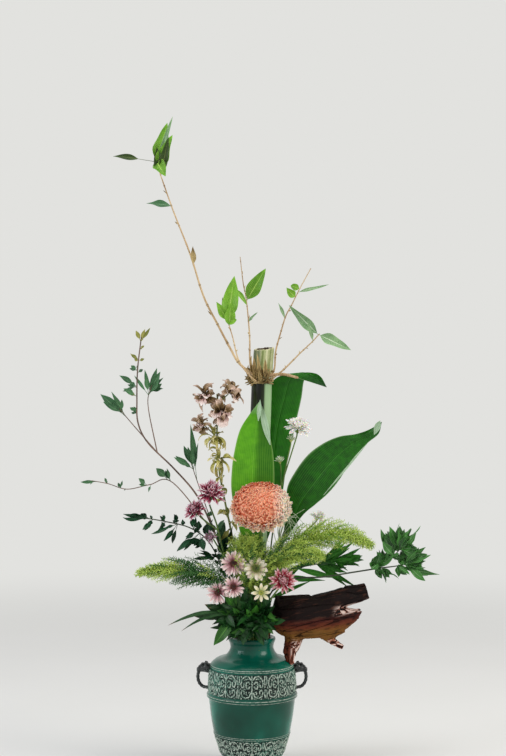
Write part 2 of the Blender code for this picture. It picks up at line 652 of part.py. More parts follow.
def build_aspidistra():
    broad_leaf("aspidistra_leaf_front", (-0.003, -0.0155), (
        (-0.003, -0.0185, 0.260), (-0.003, -0.0200, 0.330), (-0.002, -0.0215, 0.372),
    ), (
        ((-0.0050, -0.0210, 0.340), (-0.0030, -0.0208, 0.340), (-0.0010, -0.0210, 0.340)),
        ((-0.0190, -0.0230, 0.380), (-0.0020, -0.0215, 0.380), (0.0160, -0.0230, 0.380)),
        ((-0.0320, -0.0235, 0.439), (-0.0005, -0.0215, 0.439), (0.0330, -0.0235, 0.439)),
        ((-0.0320, -0.0250, 0.478), (0.0010, -0.0220, 0.478), (0.0352, -0.0250, 0.478)),
        ((-0.0275, -0.0270, 0.510), (0.0030, -0.0230, 0.510), (0.0325, -0.0270, 0.510)),
        ((-0.0190, -0.0280, 0.542), (0.0055, -0.0240, 0.542), (0.0260, -0.0280, 0.542)),
        ((-0.0050, -0.0250, 0.565), (0.0080, -0.0230, 0.565), (0.0185, -0.0250, 0.565)),
        (0.0120, -0.0210, 0.5870),
    ))
    broad_leaf("aspidistra_leaf_back", (0.009, 0.0250), (
        (0.011, 0.030, 0.260), (0.018, 0.035, 0.340), (0.026, 0.038, 0.402),
    ), (
        ((0.0215, 0.0370, 0.360), (0.0230, 0.0372, 0.360), (0.0245, 0.0370, 0.360)),
        ((0.0080, 0.0400, 0.420), (0.0280, 0.0385, 0.420), (0.0460, 0.0370, 0.420)),
        ((0.0060, 0.0420, 0.480), (0.0330, 0.0400, 0.480), (0.0560, 0.0380, 0.480)),
        ((0.0110, 0.0430, 0.545), (0.0410, 0.0415, 0.545), (0.0700, 0.0400, 0.545)),
        ((0.0220, 0.0410, 0.590), (0.0520, 0.0395, 0.590), (0.0800, 0.0370, 0.590)),
        ((0.0320, 0.0370, 0.617), (0.0600, 0.0360, 0.619), (0.0850, 0.0310, 0.621)),
        ((0.0500, 0.0330, 0.627), (0.0740, 0.0300, 0.631), (0.0980, 0.0200, 0.628)),
        ((0.0820, 0.0220, 0.621), (0.0950, 0.0160, 0.629), (0.1110, 0.0100, 0.626)),
        (0.1200, 0.0050, 0.6090),
    ))
    broad_leaf("aspidistra_leaf_right", (0.020, 0.0165), (
        (0.0215, 0.0180, 0.270), (0.034, 0.020, 0.330), (0.060, 0.018, 0.384),
    ), (
        ((0.0480, 0.0195, 0.3620), (0.0495, 0.0190, 0.3600), (0.0510, 0.0185, 0.3580)),
        ((0.0560, 0.0210, 0.4100), (0.0680, 0.0180, 0.4000), (0.0800, 0.0150, 0.4010)),
        ((0.0560, 0.0240, 0.4450), (0.0790, 0.0190, 0.4250), (0.1020, 0.0120, 0.4210)),
        ((0.0690, 0.0250, 0.4720), (0.0970, 0.0180, 0.4500), (0.1210, 0.0100, 0.4380)),
        ((0.0900, 0.0260, 0.5000), (0.1170, 0.0180, 0.4760), (0.1390, 0.0080, 0.4600)),
        ((0.1150, 0.0260, 0.5190), (0.1390, 0.0180, 0.5000), (0.1570, 0.0080, 0.4880)),
        ((0.1410, 0.0240, 0.5300), (0.1590, 0.0170, 0.5160), (0.1740, 0.0090, 0.5080)),
        ((0.1680, 0.0200, 0.5340), (0.1790, 0.0150, 0.5280), (0.1880, 0.0090, 0.5220)),
        ((0.1900, 0.0140, 0.5420), (0.1970, 0.0100, 0.5390), (0.2030, 0.0060, 0.5350)),
        (0.2080, 0.0020, 0.5540),
    ))


# ---- chrysanthemums and daisies ----
def bloom_seat(centre, axis, depth):
    # where a bloom's calyx ends
    return Vector(centre) - Vector(axis).normalized() * depth


def build_peach_mum():
    centre, axis = (0.014, -0.063, 0.425), (-0.05, -0.66, 0.75)
    radius, half = 0.0480, 0.0300
    solid("peach_mum_bloom", "peach_petal", [mum(centre, axis, radius, half, 12, 6, 0.10, 0.30)])
    lead, seat = mum_on_stem(centre, axis, half)
    route = stem_route((0.008, -0.0165), ((0.0085, -0.0185, 0.260), (0.0110, -0.0215, 0.340), lead, seat))
    solid("peach_mum_stem", "green_stem", [tube(route, 0.0030, 0.0028, 6)])


def bloom_on_spray(centre, axis, radius):
    # the last two points of a daisy's stem
    seat = bloom_seat(centre, axis, radius * DAISY_CALYX + SEAT_GAP)
    lead = bloom_seat(centre, axis, radius * DAISY_CALYX + 0.008)
    return lead, seat


def mum_on_stem(centre, axis, half):
    # and of a chrysanthemum's
    seat = bloom_seat(centre, axis, half * MUM_CALYX + SEAT_GAP)
    lead = bloom_seat(centre, axis, half * MUM_CALYX + 0.008)
    return lead, seat


def build_daisy_sprays():
    pinks = (
        ("pink_daisy_1", (-0.029, -0.060, 0.335), (-0.10, -0.93, 0.30), 0.0205, 10),
        ("pink_daisy_2", (-0.053, -0.058, 0.289), (-0.15, -0.95, 0.15), 0.0190, 10),
        ("pink_daisy_3", (-0.029, -0.067, 0.299), (0.10, -0.96, 0.20), 0.0175, 10),
    )
    fork = stem_route((-0.0105, -0.0195), ((-0.013, -0.026, 0.235), (-0.020, -0.034, 0.262)))
    shapes = [tube(fork, 0.0018, 0.0016, 5)]
    for name, centre, axis, radius, petals in pinks:
        solid(name, "pink_petal", [daisy(centre, axis, radius, petals)])
        lead, seat = bloom_on_spray(centre, axis, radius)
        shapes.append(tube([fork[-2], fork[-1].lerp(lead, 0.5), lead, seat], 0.0013, 0.0011, 4))
    solid("daisy_spray_stem", "green_stem", shapes)

    creams = (
        ("cream_daisy_1", (0.006, -0.064, 0.327), (0.05, -0.93, 0.35), 0.0200, 9),
        ("cream_daisy_2", (0.014, -0.068, 0.290), (0.05, -0.98, 0.10), 0.0150, 8),
    )
    fork = stem_route((0.002, -0.022), ((0.003, -0.029, 0.235), (0.006, -0.038, 0.260)))
    shapes = [tube(fork, 0.0017, 0.0015, 6)]
    for name, centre, axis, radius, petals in creams:
        solid(name, "cream_petal", [daisy(centre, axis, radius, petals)])
        lead, seat = bloom_on_spray(centre, axis, radius)
        shapes.append(tube([fork[-2], fork[-1].lerp(lead, 0.5), lead, seat], 0.0013, 0.0011, 4))
    solid("cream_spray_stem", "green_stem", shapes)


def build_small_mums():
    centre, axis, radius, half = (0.049, -0.062, 0.308), (0.10, -0.92, 0.38), 0.0205, 0.0120
    solid("red_mum_bloom", "red_petal", [mum(centre, axis, radius, half, 9, 3, 0.20, 0.2)])
    lead, seat = mum_on_stem(centre, axis, half)
    route = stem_route((0.0095, -0.0245), ((0.011, -0.030, 0.232), (0.022, -0.040, 0.266), lead, seat))
    solid("red_mum_stem", "green_stem", [tube(route, 0.0018, 0.0015, 6)])

    blooms = (
        ("purple_mum_bloom_upper", (-0.065, -0.036, 0.443), (0.10, -0.80, 0.60), 0.0235, 0.0150, 9),
        ("purple_mum_bloom_lower", (-0.090, -0.032, 0.415), (-0.45, -0.80, 0.35), 0.0175, 0.0110, 8),
        ("faded_mum_bloom", (-0.066, -0.034, 0.373), (-0.20, -0.95, 0.20), 0.0110, 0.0080, 7),
    )
    main = stem_route((-0.0145, -0.0120), (
        (-0.018, -0.0160, 0.250), (-0.032, -0.0210, 0.310), (-0.046, -0.0220, 0.352),
        (-0.056, -0.0215, 0.392)))
    shapes = [tube(main, 0.0019, 0.0015, 6)]
    for (name, centre, axis, radius, half, lobes), start in zip(blooms, (-1, -2, -5)):
        finish = "purple_petal" if "purple" in name else "pink_petal"
        solid(name, finish, [mum(centre, axis, radius, half, lobes, 3, 0.20, 0.2)])
        lead, seat = mum_on_stem(centre, axis, half)
        shapes.append(tube([main[start], main[start].lerp(lead, 0.5), lead, seat], 0.0014, 0.0011, 4))
    solid("purple_mum_stem", "green_stem", shapes)


def build_asters():
    centre, axis, radius, half = (0.074, -0.004, 0.546), (0.15, -0.42, 0.90), 0.0225, 0.0095
    solid("white_aster_bloom", "white_petal", [mum(centre, axis, radius, half, 9, 3, 0.22, 0.2)])
    main = stem_route((0.0245, 0.0060), (
        (0.0265, 0.0050, 0.280), (0.0300, 0.0020, 0.350), (0.0400, 0.0000, 0.420),
        (0.0520, -0.0020, 0.470)))
    lead, seat = mum_on_stem(centre, axis, half)
    shapes = [tube(main, 0.0014, 0.0012, 6),
              tube(smooth_route([main[-2], (0.062, -0.002, 0.505), lead, seat]), 0.0012, 0.0010, 5)]
    buds = (("aster_bud_1", (0.062, -0.003, 0.521), (0.10, -0.1, 1), 0.0065, 0.014),
            ("aster_bud_2", (0.045, -0.006, 0.487), (-0.15, -0.2, 1), 0.0050, 0.012))
    for name, place, axis, radius, length in buds:
        solid(name, "white_petal", [bud(place, axis, radius, length)])
        foot = bloom_seat(place, axis, SEAT_GAP)
        under = bloom_seat(place, axis, 0.006)
        shapes.append(tube([main[-2], main[-2].lerp(under, 0.6), under, foot], 0.0011, 0.0009, 5))
    solid("aster_stem", "green_stem", shapes)

    place, axis = (0.108, 0.030, 0.398), (0.35, -0.60, 0.60)
    solid("small_white_bloom", "white_petal", [daisy(place, axis, 0.0100, 7)])
    lead, seat = bloom_on_spray(place, axis, 0.0100)
    route = stem_route((0.0160, 0.0225), ((0.0200, 0.0270, 0.280), (0.0450, 0.0350, 0.330),
                                          (0.0850, 0.0400, 0.372), lead, seat))
    solid("small_white_stem", "green_stem", [tube(route, 0.0012, 0.0010, 5)])


# ---- the faded orchid spike ----
def orchid_bloom(name, centre, axis, reach, width, turn):
    # five narrow tepals and a broader lip round a small column
    frame = bloom_frame(axis)
    c, start = Vector(centre), 0.5 * ORCHID_HEART
    shapes = [ball(c, (ORCHID_HEART, ORCHID_HEART, ORCHID_HEART), 7, 4)]
    for i in range(5):
        angle = math.radians(turn + 72 * i)
        out = frame[1] * math.cos(angle) + frame[2] * math.sin(angle)
        out = out + frame[0] * (0.30 - 0.25 * (i % 2))
        shapes.append(blade(c + out * start, c + out * reach, width, frame[0], stalk=0.0, stations=3))
    lip = frame[0] * 0.9 - Vector((0, 0, 0.5))
    shapes.append(blade(c + lip * start, c + lip * reach * 0.6, width * 1.2, (0.1, 0.2, 1), stalk=0.0,
                        stations=3))
    return solid(name, "orchid_petal", shapes)


def build_orchid():
    spike = stem_route((-0.0175, -0.0040), (
        (-0.020, -0.003, 0.280), (-0.030, -0.001, 0.360), (-0.044, 0.000, 0.430), (-0.053, 0.003, 0.480),
        (-0.056, 0.004, 0.530), (-0.055, 0.005, 0.580), (-0.056, 0.006, 0.598)))
    shapes = [tube(spike, 0.0022, 0.0014, 6)]
    blooms = (
        ("orchid_bloom_1", (-0.033, -0.008, 0.602), (0.55, -0.70, 0.30), 0.021, 0.0085, 20, 0.97),
        ("orchid_bloom_2", (-0.074, -0.008, 0.596), (-0.60, -0.70, 0.15), 0.020, 0.0080, 55, 0.985),
        ("orchid_bloom_3", (-0.049, -0.016, 0.571), (0.20, -0.90, -0.30), 0.019, 0.0100, 10, 0.93),
        ("orchid_bloom_4", (-0.080, -0.008, 0.549), (-0.75, -0.55, 0.05), 0.015, 0.0070, 30, 0.88),
        ("orchid_bloom_5", (-0.060, -0.013, 0.529), (-0.10, -0.95, 0.10), 0.020, 0.0060, 0, 0.85),
        ("orchid_bloom_6", (-0.052, -0.014, 0.493), (0.15, -0.95, 0.00), 0.021, 0.0060, 35, 0.78),
    )
    for name, centre, axis, reach, width, turn, place in blooms:
        orchid_bloom(name, centre, axis, reach, width, turn)
        foot = bloom_seat(centre, axis, ORCHID_HEART + SEAT_GAP)
        shapes.append(tube([point_on(spike, place), foot], 0.0010, 0.0009, 5))
    solid("orchid_stem", "green_stem", shapes)


# ---- leafy branches ----
def branch(name, finish, route, thick, thin, leaves, twigs=(), stalk=0.0, stations=2, facing=(0, -1, 0.35)):
    # a stem with its own leaves, and side twigs given as (place, points, leaves)
    shapes = [tube(route, thick, thin, 5)]
    shapes += leaves_along(route, leaves, facing, stalk, stations=stations)
    for place, points, own in twigs:
        side = [point_on(route, place)] + [Vector(p) for p in points]
        shapes.append(tube(side, thin * 1.05, thin * 0.7, 4))
        shapes += leaves_along(side, own, facing, stalk, stations=stations)
    return solid(name, finish, shapes)


def build_branch_left():
    route = stem_route((-0.0240, -0.0015), (
        (-0.028, 0.001, 0.270), (-0.045, 0.004, 0.335), (-0.066, 0.006, 0.390), (-0.090, 0.005, 0.438),
        (-0.126, 0.002, 0.480), (-0.166, -0.002, 0.520), (-0.182, -0.003, 0.552), (-0.184, -0.002, 0.589),
        (-0.183, 0.000, 0.638), (-0.177, 0.000, 0.690)))
    top = (
        (0.995, (-0.171, -0.003, 0.702), 0.007), (0.98, (-0.186, 0.003, 0.700), 0.007),
        (0.955, (-0.173, 0.004, 0.676), 0.006), (0.935, (-0.192, -0.004, 0.662), 0.007),
        (0.91, (-0.172, -0.005, 0.655), 0.008), (0.89, (-0.194, 0.004, 0.644), 0.009),
        (0.88, (-0.175, 0.006, 0.638), 0.008), (0.85, (-0.212, -0.004, 0.628), 0.011),
        (0.83, (-0.205, -0.007, 0.607), 0.011), (0.82, (-0.196, 0.008, 0.617), 0.009),
        (0.78, (-0.195, -0.004, 0.577), 0.008), (0.76, (-0.190, 0.005, 0.572), 0.007))
    right_twig = (0.73, ((-0.166, -0.006, 0.581), (-0.160, -0.008, 0.612)), (
        (0.75, (-0.154, -0.012, 0.606), 0.008), (0.90, (-0.171, -0.008, 0.637), 0.007),
        (0.95, (-0.146, -0.010, 0.634), 0.012), (0.97, (-0.152, 0.000, 0.640), 0.009),
        (0.85, (-0.144, -0.004, 0.615), 0.009)))
    left_twig = (0.73, ((-0.198, 0.000, 0.558), (-0.214, 0.003, 0.577)), (
        (0.80, (-0.208, -0.003, 0.590), 0.006), (0.96, (-0.243, 0.004, 0.598), 0.015),
        (0.97, (-0.226, 0.010, 0.602), 0.010), (0.94, (-0.238, -0.003, 0.586), 0.010)))
    far_twig = (0.505, ((-0.127, 0.003, 0.4565), (-0.164, 0.004, 0.453), (-0.200, 0.002, 0.446),
                        (-0.230, -0.002, 0.455), (-0.256, -0.004, 0.460)), (
        (0.985, (-0.274, -0.004, 0.458), 0.006), (0.90, (-0.258, -0.006, 0.454), 0.009),
        (0.84, (-0.236, 0.003, 0.464), 0.008), (0.73, (-0.214, -0.006, 0.457), 0.008),
        (0.62, (-0.205, 0.004, 0.444), 0.006), (0.38, (-0.181, -0.004, 0.464), 0.009),
        (0.30, (-0.166, 0.004, 0.441), 0.008), (0.22, (-0.153, -0.005, 0.480), 0.013),
        (0.20, (-0.139, 0.003, 0.476), 0.011)))
    near_twig = (0.47, ((-0.090, -0.002, 0.466), (-0.098, -0.005, 0.493)), (
        (0.96, (-0.098, -0.010, 0.550), 0.011), (0.93, (-0.086, -0.008, 0.520), 0.011),
        (0.90, (-0.109, -0.004, 0.516), 0.010), (0.86, (-0.122, -0.008, 0.500), 0.010)))
    branch("branch_left", "woody_leaf", route, 0.0024, 0.0013, top,
           (right_twig, left_twig, far_twig, near_twig))


def build_sprig_left():
    route = stem_route((-0.0245, -0.0095), (
        (-0.031, -0.0100, 0.262), (-0.047, -0.0105, 0.318), (-0.068, -0.0130, 0.362),
        (-0.098, -0.0190, 0.386), (-0.140, -0.0220, 0.397), (-0.176, -0.0230, 0.403)))
    branch("sprig_left_low", "dark_leaf", route, 0.0014, 0.0009, (
        (0.985, (-0.198, -0.024, 0.408), 0.012), (0.95, (-0.186, -0.028, 0.392), 0.010),
        (0.92, (-0.170, -0.018, 0.412), 0.015), (0.87, (-0.172, -0.028, 0.379), 0.012),
        (0.85, (-0.146, -0.020, 0.410), 0.014), (0.80, (-0.131, -0.026, 0.379), 0.018),
        (0.74, (-0.118, -0.018, 0.405), 0.013), (0.70, (-0.128, -0.028, 0.358), 0.016),
        (0.66, (-0.100, -0.026, 0.355), 0.012), (0.62, (-0.090, -0.014, 0.408), 0.012),
        (0.58, (-0.086, -0.026, 0.358), 0.014), (0.54, (-0.103, -0.020, 0.345), 0.013),
        (0.52, (-0.064, -0.010, 0.392), 0.012), (0.50, (-0.082, -0.018, 0.336), 0.013),
        (0.45, (-0.072, -0.015, 0.324), 0.010)), stalk=0.15)


def build_branch_right():
    route = stem_route((0.0220, -0.0110), (
        (0.0225, -0.0120, 0.262), (0.0400, -0.0150, 0.294), (0.0680, -0.0170, 0.3055),
        (0.1130, -0.0170, 0.3080), (0.1590, -0.0160, 0.3150), (0.2050, -0.0140, 0.3220)))
    upper = (0.99, ((0.2250, -0.0120, 0.340), (0.2440, -0.0100, 0.362)), (
        (0.30, (0.2080, -0.006, 0.352), 0.014), (0.45, (0.2400, -0.020, 0.338), 0.014),
        (0.55, (0.2220, -0.004, 0.370), 0.014), (0.70, (0.2130, -0.016, 0.366), 0.013),
        (0.80, (0.2620, -0.014, 0.352), 0.015), (0.90, (0.2360, -0.006, 0.388), 0.014),
        (0.97, (0.2690, -0.006, 0.388), 0.014), (0.95, (0.2540, -0.014, 0.384), 0.011)))
    lower = (0.985, ((0.2350, -0.0150, 0.326), (0.2560, -0.0150, 0.332)), (
        (0.25, (0.2180, -0.024, 0.308), 0.014), (0.45, (0.2420, -0.008, 0.344), 0.014),
        (0.55, (0.2460, -0.024, 0.312), 0.015), (0.75, (0.2660, -0.010, 0.352), 0.014),
        (0.85, (0.2720, -0.024, 0.322), 0.013), (0.97, (0.2790, -0.014, 0.344), 0.014),
        (0.96, (0.2980, -0.018, 0.312), 0.009)))
    branch("branch_right", "woody_leaf", route, 0.0019, 0.0015, (
        (0.86, (0.1900, -0.022, 0.334), 0.008), (0.93, (0.2020, -0.024, 0.309), 0.012),
        (0.95, (0.2060, -0.006, 0.342), 0.013), (0.70, (0.1420, -0.024, 0.322), 0.006)),
        (upper, lower))


# ---- feathery plumes, fern, grass and the low leaves over the rim ----
def plume(name, slot, points, count, start, length, width, finish="plume_green", rise=0.5):
    route = stem_route(slot, points)
    shapes = [tube(route, 0.0015, 0.0009, 5)]
    shapes += fronds_along(route, count, start, length, width, rise)
    return solid(name, finish, shapes)


def build_plumes():
    plume("plume_left", (-0.0190, -0.0170), (
        (-0.025, -0.025, 0.250), (-0.038, -0.037, 0.288), (-0.062, -0.043, 0.310),
        (-0.100, -0.046, 0.320), (-0.140, -0.047, 0.323), (-0.172, -0.047, 0.320)), 18, 0.64, 0.036, 0.0075)
    plume("plume_right_upper", (0.0175, -0.0150), (
        (0.0205, -0.0160, 0.262), (0.0380, -0.0170, 0.322), (0.0700, -0.0180, 0.356),
        (0.1080, -0.0190, 0.373), (0.1480, -0.0190, 0.376), (0.1840, -0.0190, 0.362)),
        18, 0.70, 0.036, 0.0080)
    plume("plume_right_middle", (0.0140, -0.0215), (
        (0.0160, -0.0260, 0.250), (0.0210, -0.0360, 0.306), (0.0420, -0.0430, 0.340),
        (0.0740, -0.0450, 0.350), (0.1040, -0.0450, 0.347)), 14, 0.66, 0.030, 0.0075)
    plume("plume_center", (-0.0045, -0.0245), (
        (-0.0050, -0.0300, 0.250), (-0.0055, -0.0360, 0.300), (-0.0080, -0.0400, 0.340),
        (-0.0100, -0.0420, 0.366)), 10, 0.74, 0.028, 0.0070)


def build_fern():
    route = stem_route((0.0235, 0.0110), (
        (0.0245, 0.0110, 0.262), (0.0360, 0.0120, 0.300), (0.0700, 0.0140, 0.317), (0.1120, 0.0150, 0.326),
        (0.1520, 0.0150, 0.334)))
    branch("fern_right", "dark_leaf", route, 0.0014, 0.0010, (
        (0.985, (0.178, 0.014, 0.338), 0.010), (0.95, (0.172, 0.006, 0.324), 0.009),
        (0.90, (0.158, 0.020, 0.350), 0.009), (0.88, (0.152, 0.006, 0.312), 0.010),
        (0.82, (0.138, 0.022, 0.344), 0.009), (0.80, (0.136, 0.006, 0.304), 0.010),
        (0.74, (0.118, 0.022, 0.338), 0.009), (0.72, (0.118, 0.008, 0.299), 0.010),
        (0.64, (0.092, 0.022, 0.336), 0.009), (0.62, (0.094, 0.008, 0.298), 0.009)), stalk=0.08)


def build_grass():
    root = stem_route((0.0256, -0.0102), (
        (0.0258, -0.0100, 0.270), (0.0330, -0.0090, 0.330), (0.0440, -0.0060, 0.362)))
    shapes = [tube(root, 0.0010, 0.0008, 5)]
    loops = (((0.058, -0.008, 0.401), (0.077, -0.010, 0.378)),
             ((0.050, 0.000, 0.398), (0.067, 0.004, 0.404)),
             ((0.064, 0.002, 0.388), (0.075, 0.005, 0.374)))
    for crown, tip in loops:
        arch = smooth_route([root[-3], root[-1].lerp(Vector(crown), 0.5), crown, tip], 3)
        shapes.append(tube(arch, 0.0008, 0.0006, 5))
    solid("grass_loops", "pale_grass", shapes)


def build_low_foliage():
    route = stem_route((-0.0125, -0.0240), (
        (-0.0130, -0.0320, 0.226), (-0.0140, -0.0420, 0.238), (-0.0220, -0.0480, 0.246)))
    left = (0.97, ((-0.030, -0.049, 0.250), (-0.040, -0.050, 0.254)), (
        (0.90, (-0.074, -0.055, 0.270), 0.017), (0.92, (-0.128, -0.060, 0.238), 0.013),
        (0.95, (-0.088, -0.056, 0.262), 0.014), (0.60, (-0.108, -0.058, 0.229), 0.009),
        (0.50, (-0.062, -0.056, 0.213), 0.012), (0.80, (-0.060, -0.048, 0.286), 0.012)))
    right = (0.93, ((-0.004, -0.0460, 0.246), (0.010, -0.0460, 0.248), (0.022, -0.0460, 0.250)), (
        (0.30, (-0.010, -0.056, 0.222), 0.014), (0.45, (0.000, -0.052, 0.274), 0.014),
        (0.60, (0.019, -0.050, 0.212), 0.010), (0.70, (0.020, -0.054, 0.228), 0.015),
        (0.85, (0.030, -0.052, 0.270), 0.013), (0.97, (0.036, -0.052, 0.240), 0.012)))
    branch("low_foliage", "dark_leaf", route, 0.0013, 0.0013, (
        (0.99, (-0.034, -0.054, 0.222), 0.016), (0.96, (-0.024, -0.052, 0.272), 0.014)), (left, right))


def build_all():
    clear_scene()
    build_vase()
    build_driftwood()
    build_culm()
    build_bamboo_branches()
    build_sheath()
    build_aspidistra()
    build_peach_mum()
    build_daisy_sprays()
    build_small_mums()
    build_asters()
    build_orchid()
    build_branch_left()
    build_sprig_left()
    build_branch_right()
    build_plumes()
    build_fern()
    build_grass()
    build_low_foliage()


build_all()
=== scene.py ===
import re
from functools import partial
from math import cos, pi, radians, sin

import bmesh
import bpy
import numpy as np
from mathutils import Matrix, Vector, noise
from numpy.linalg import norm


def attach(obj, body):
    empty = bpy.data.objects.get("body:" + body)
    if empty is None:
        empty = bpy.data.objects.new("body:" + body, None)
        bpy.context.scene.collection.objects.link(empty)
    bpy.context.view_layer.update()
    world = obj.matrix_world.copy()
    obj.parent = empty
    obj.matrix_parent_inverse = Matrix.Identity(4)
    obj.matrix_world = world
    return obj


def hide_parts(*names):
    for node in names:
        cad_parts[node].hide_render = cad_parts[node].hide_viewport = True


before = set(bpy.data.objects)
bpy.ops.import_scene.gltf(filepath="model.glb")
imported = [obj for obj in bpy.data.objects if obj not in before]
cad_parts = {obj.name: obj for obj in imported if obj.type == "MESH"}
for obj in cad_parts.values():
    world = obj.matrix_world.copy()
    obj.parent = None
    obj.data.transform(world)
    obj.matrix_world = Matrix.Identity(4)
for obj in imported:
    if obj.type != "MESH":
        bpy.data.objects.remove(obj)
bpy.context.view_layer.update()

# A Chinese flower arrangement: bamboo, broad leaves, chrysanthemums and driftwood in a glazed vase.
# Metres, +Z up, the arrangement's front facing -Y; the tables of its pieces are in millimetres.
vaseFloor = 0.0123      # the stems stand on it
footSpread = 1.3        # how far apart they stand on it, against in the mouth
goldenTurn = 2.39996


def linear(hexColour):
    channels = [int(hexColour[i:i + 2], 16) / 255 for i in (1, 3, 5)]
    return [c / 12.92 if c <= 0.04045 else ((c + 0.055) / 1.055) ** 2.4 for c in channels] + [1.0]


# from a table's millimetres
def metres(values):
    return np.array(values, float) / 1000


def unit(vector):
    vector = np.asarray(vector, float)
    return vector / max(norm(vector), 1e-9)


def seeded(seed):
    return np.random.default_rng(seed)


# angles set evenly round a circle
def roundAngles(count):
    return np.arange(count) * 2 * pi / count


# the places at those angles as rows of x, y and 1, to be stretched and moved
def circle(count):
    turn = roundAngles(count)
    return np.column_stack([np.cos(turn), np.sin(turn), np.ones(count)])


# 0 at low, 1 at high, with a soft start and end
def ease(value, low, high):
    share = np.clip((value - low) / (high - low), 0, 1)
    return share * share * (3 - 2 * share)


# gives inputs, by name or in order, a value, a hex colour or a link
def setInputs(tree, node, inputs):
    for key, value in inputs.items() if isinstance(inputs, dict) else enumerate(inputs):
        sources = value if isinstance(value, list) else [value]
        if isinstance(sources[0], bpy.types.NodeSocket):
            for source in sources:
                tree.links.new(source, node.inputs[key])
        else:
            node.inputs[key].default_value = linear(value) if str(value).startswith("#") else value


# adds a node with its settings and inputs and returns one of its outputs; a kind in capitals is the operation
# of a Math node, and stops set a colour ramp
def addNode(tree, kind, inputs=(), out=0, stops=(), **settings):
    if kind.isupper():
        kind, settings = "Math", {"operation": kind}
    node = tree.nodes.new(kind if "Node" in kind else "ShaderNode" + kind)
    for name, value in settings.items():
        setattr(node, name, value)
    setInputs(tree, node, inputs)
    for number, (place, colour) in enumerate(stops):
        elements = node.color_ramp.elements
        element = elements[number] if number < 2 else elements.new(place)
        element.position = place
        element.color = linear(colour)
    return node.outputs[out]


materials = {}


# a new finish: how to add nodes to it, the place on the object, and the attributes its pattern follows
def newMaterial(name, *attributes):
    materials[name] = bpy.data.materials.new(name)
    materials[name].use_nodes = True
    add = partial(addNode, materials[name].node_tree)
    patterns = [add("Attribute", out="Fac", attribute_name=key) for key in attributes]
    return [add, add("TexCoord", out="Object")] + patterns


# what the shader is given: relief is a height, how strongly it bumps and how deep, and rest anything else
def dressMaterial(name, colour, rough, relief=(), rest=None):
    tree = materials[name].node_tree
    looks = {"Base Color": colour, "Roughness": rough, **(rest or {})}
    if relief:
        looks["Normal"] = addNode(tree, "Bump", dict(zip(("Height", "Strength", "Distance"), relief)))
    setInputs(tree, tree.nodes["Principled BSDF"], looks)


# a smooth curve through points
def smoothRoute(points, perSpan=6):
    knots = np.array(points, float)
    if len(knots) < 3:
        return knots
    ends = np.vstack([2 * knots[0] - knots[1], knots, 2 * knots[-1] - knots[-2]])
    t = np.arange(perSpan)[:, None] / perSpan
    spans = [0.5 * (2 * b + (c - a) * t + (2 * a - 5 * b + 4 * c - d) * t * t + (3 * b - a - 3 * c + d)
            * t ** 3) for a, b, c, d in zip(ends, ends[1:], ends[2:], ends[3:])]
    return np.vstack(spans + [knots[-1:]])


# distance along a route to each of its points
def distancesAlong(route):
    return np.append(0, np.cumsum(norm(np.diff(route, axis=0), axis=1)))


def routeShares(route):
    distances = distancesAlong(route)
    return distances / distances[-1]


def pointOn(route, share):
    shares = routeShares(route)
    return np.array([np.interp(share, shares, route[:, axis]) for axis in range(3)])


# from the vase's floor up through a place in its mouth, then along the points
def stemRoute(foot, points, perSpan):
    x, y = metres(foot)
    halfway = 1 + 0.4 * (footSpread - 1)
    start = [(x * footSpread, y * footSpread, vaseFloor), (x * halfway, y * halfway, 0.12), (x, y, 0.205)]
    return smoothRoute(start + list(metres(points)), perSpan)


def anySide(direction):
    return unit(np.cross(direction, (0, 0, 1) if abs(direction[2]) < 0.9 else (1, 0, 0)))


# meshes are gathered as closed lofts, with what the finishes read kept on their points
kept = ("along", "across", "tone", "row")


def newShape():
    return {"size": 0, **{key: [] for key in ("points", "faces", "finish", "finishes") + kept}}


def finishIndex(shape, name):
    if name not in shape["finishes"]:
        shape["finishes"].append(name)
    return shape["finishes"].index(name)


# joins rings of equal length into a closed skin; finish is one name, or one for each span between rings
def addLoft(shape, rings, tone=0.5, finish="greenStem", along=None, across=None):
    rings = np.asarray(rings, float)
    rows, columns = rings.shape[:2]
    along = np.linspace(0, 1, rows) if along is None else np.asarray(along, float)
    across = np.linspace(-1, 1, columns) if across is None else across
    index = shape["size"] + np.arange(rows * columns).reshape(rows, columns)
    turned = np.roll(index, -1, axis=1)
    quads = np.stack([index[:-1], turned[:-1], turned[1:], index[1:]], axis=-1).reshape(-1, 4).tolist()
    names = [finish] * (rows - 1) if isinstance(finish, str) else finish
    indices = [finishIndex(shape, name) for name in names for _ in range(columns)]
    shape["faces"] += quads + [index[0, ::-1].tolist(), index[-1].tolist()]
    shape["finish"] += indices + [indices[0], indices[-1]]
    shape["points"].append(rings.reshape(-1, 3))
    for name, value in zip(kept, (along[:, None], across, tone, 0.5)):
        shape[name].append(np.broadcast_to(value, (rows, columns)).astype(np.float32).reshape(-1))
    shape["size"] += rows * columns


# a round stem along a route; a short taper closes its tip
def addTube(shape, route, radii, sides=8, finish="greenStem", tone=0.5, roundTip=True):
    route = np.asarray(route, float)
    shares = routeShares(route)
    radii = np.atleast_1d(radii)
    if len(radii) != len(route):
        radii = np.interp(shares, np.linspace(0, 1, len(radii)), radii)
    tangents = np.gradient(route, axis=0)
    side = anySide(unit(tangents[0]))
    circular = circle(sides)[:, :2]
    rings = []
    for point, tangent, radius in zip(route, tangents, radii):
        tangent = unit(tangent)
        side = unit(side - tangent * side.dot(tangent))
        rings.append(point + radius * (circular @ (side, np.cross(tangent, side))))
    if roundTip:
        rings.append(route[-1] + unit(tangents[-1]) * radii[-1] * 0.6 + (rings[-1] - route[-1]) * 0.4)
        shares = np.append(shares, 1.0)
    if not np.isscalar(tone):
        tone = np.append(tone, tone[-1])[:len(rings), None]
    addLoft(shape, rings, tone, finish, shares)


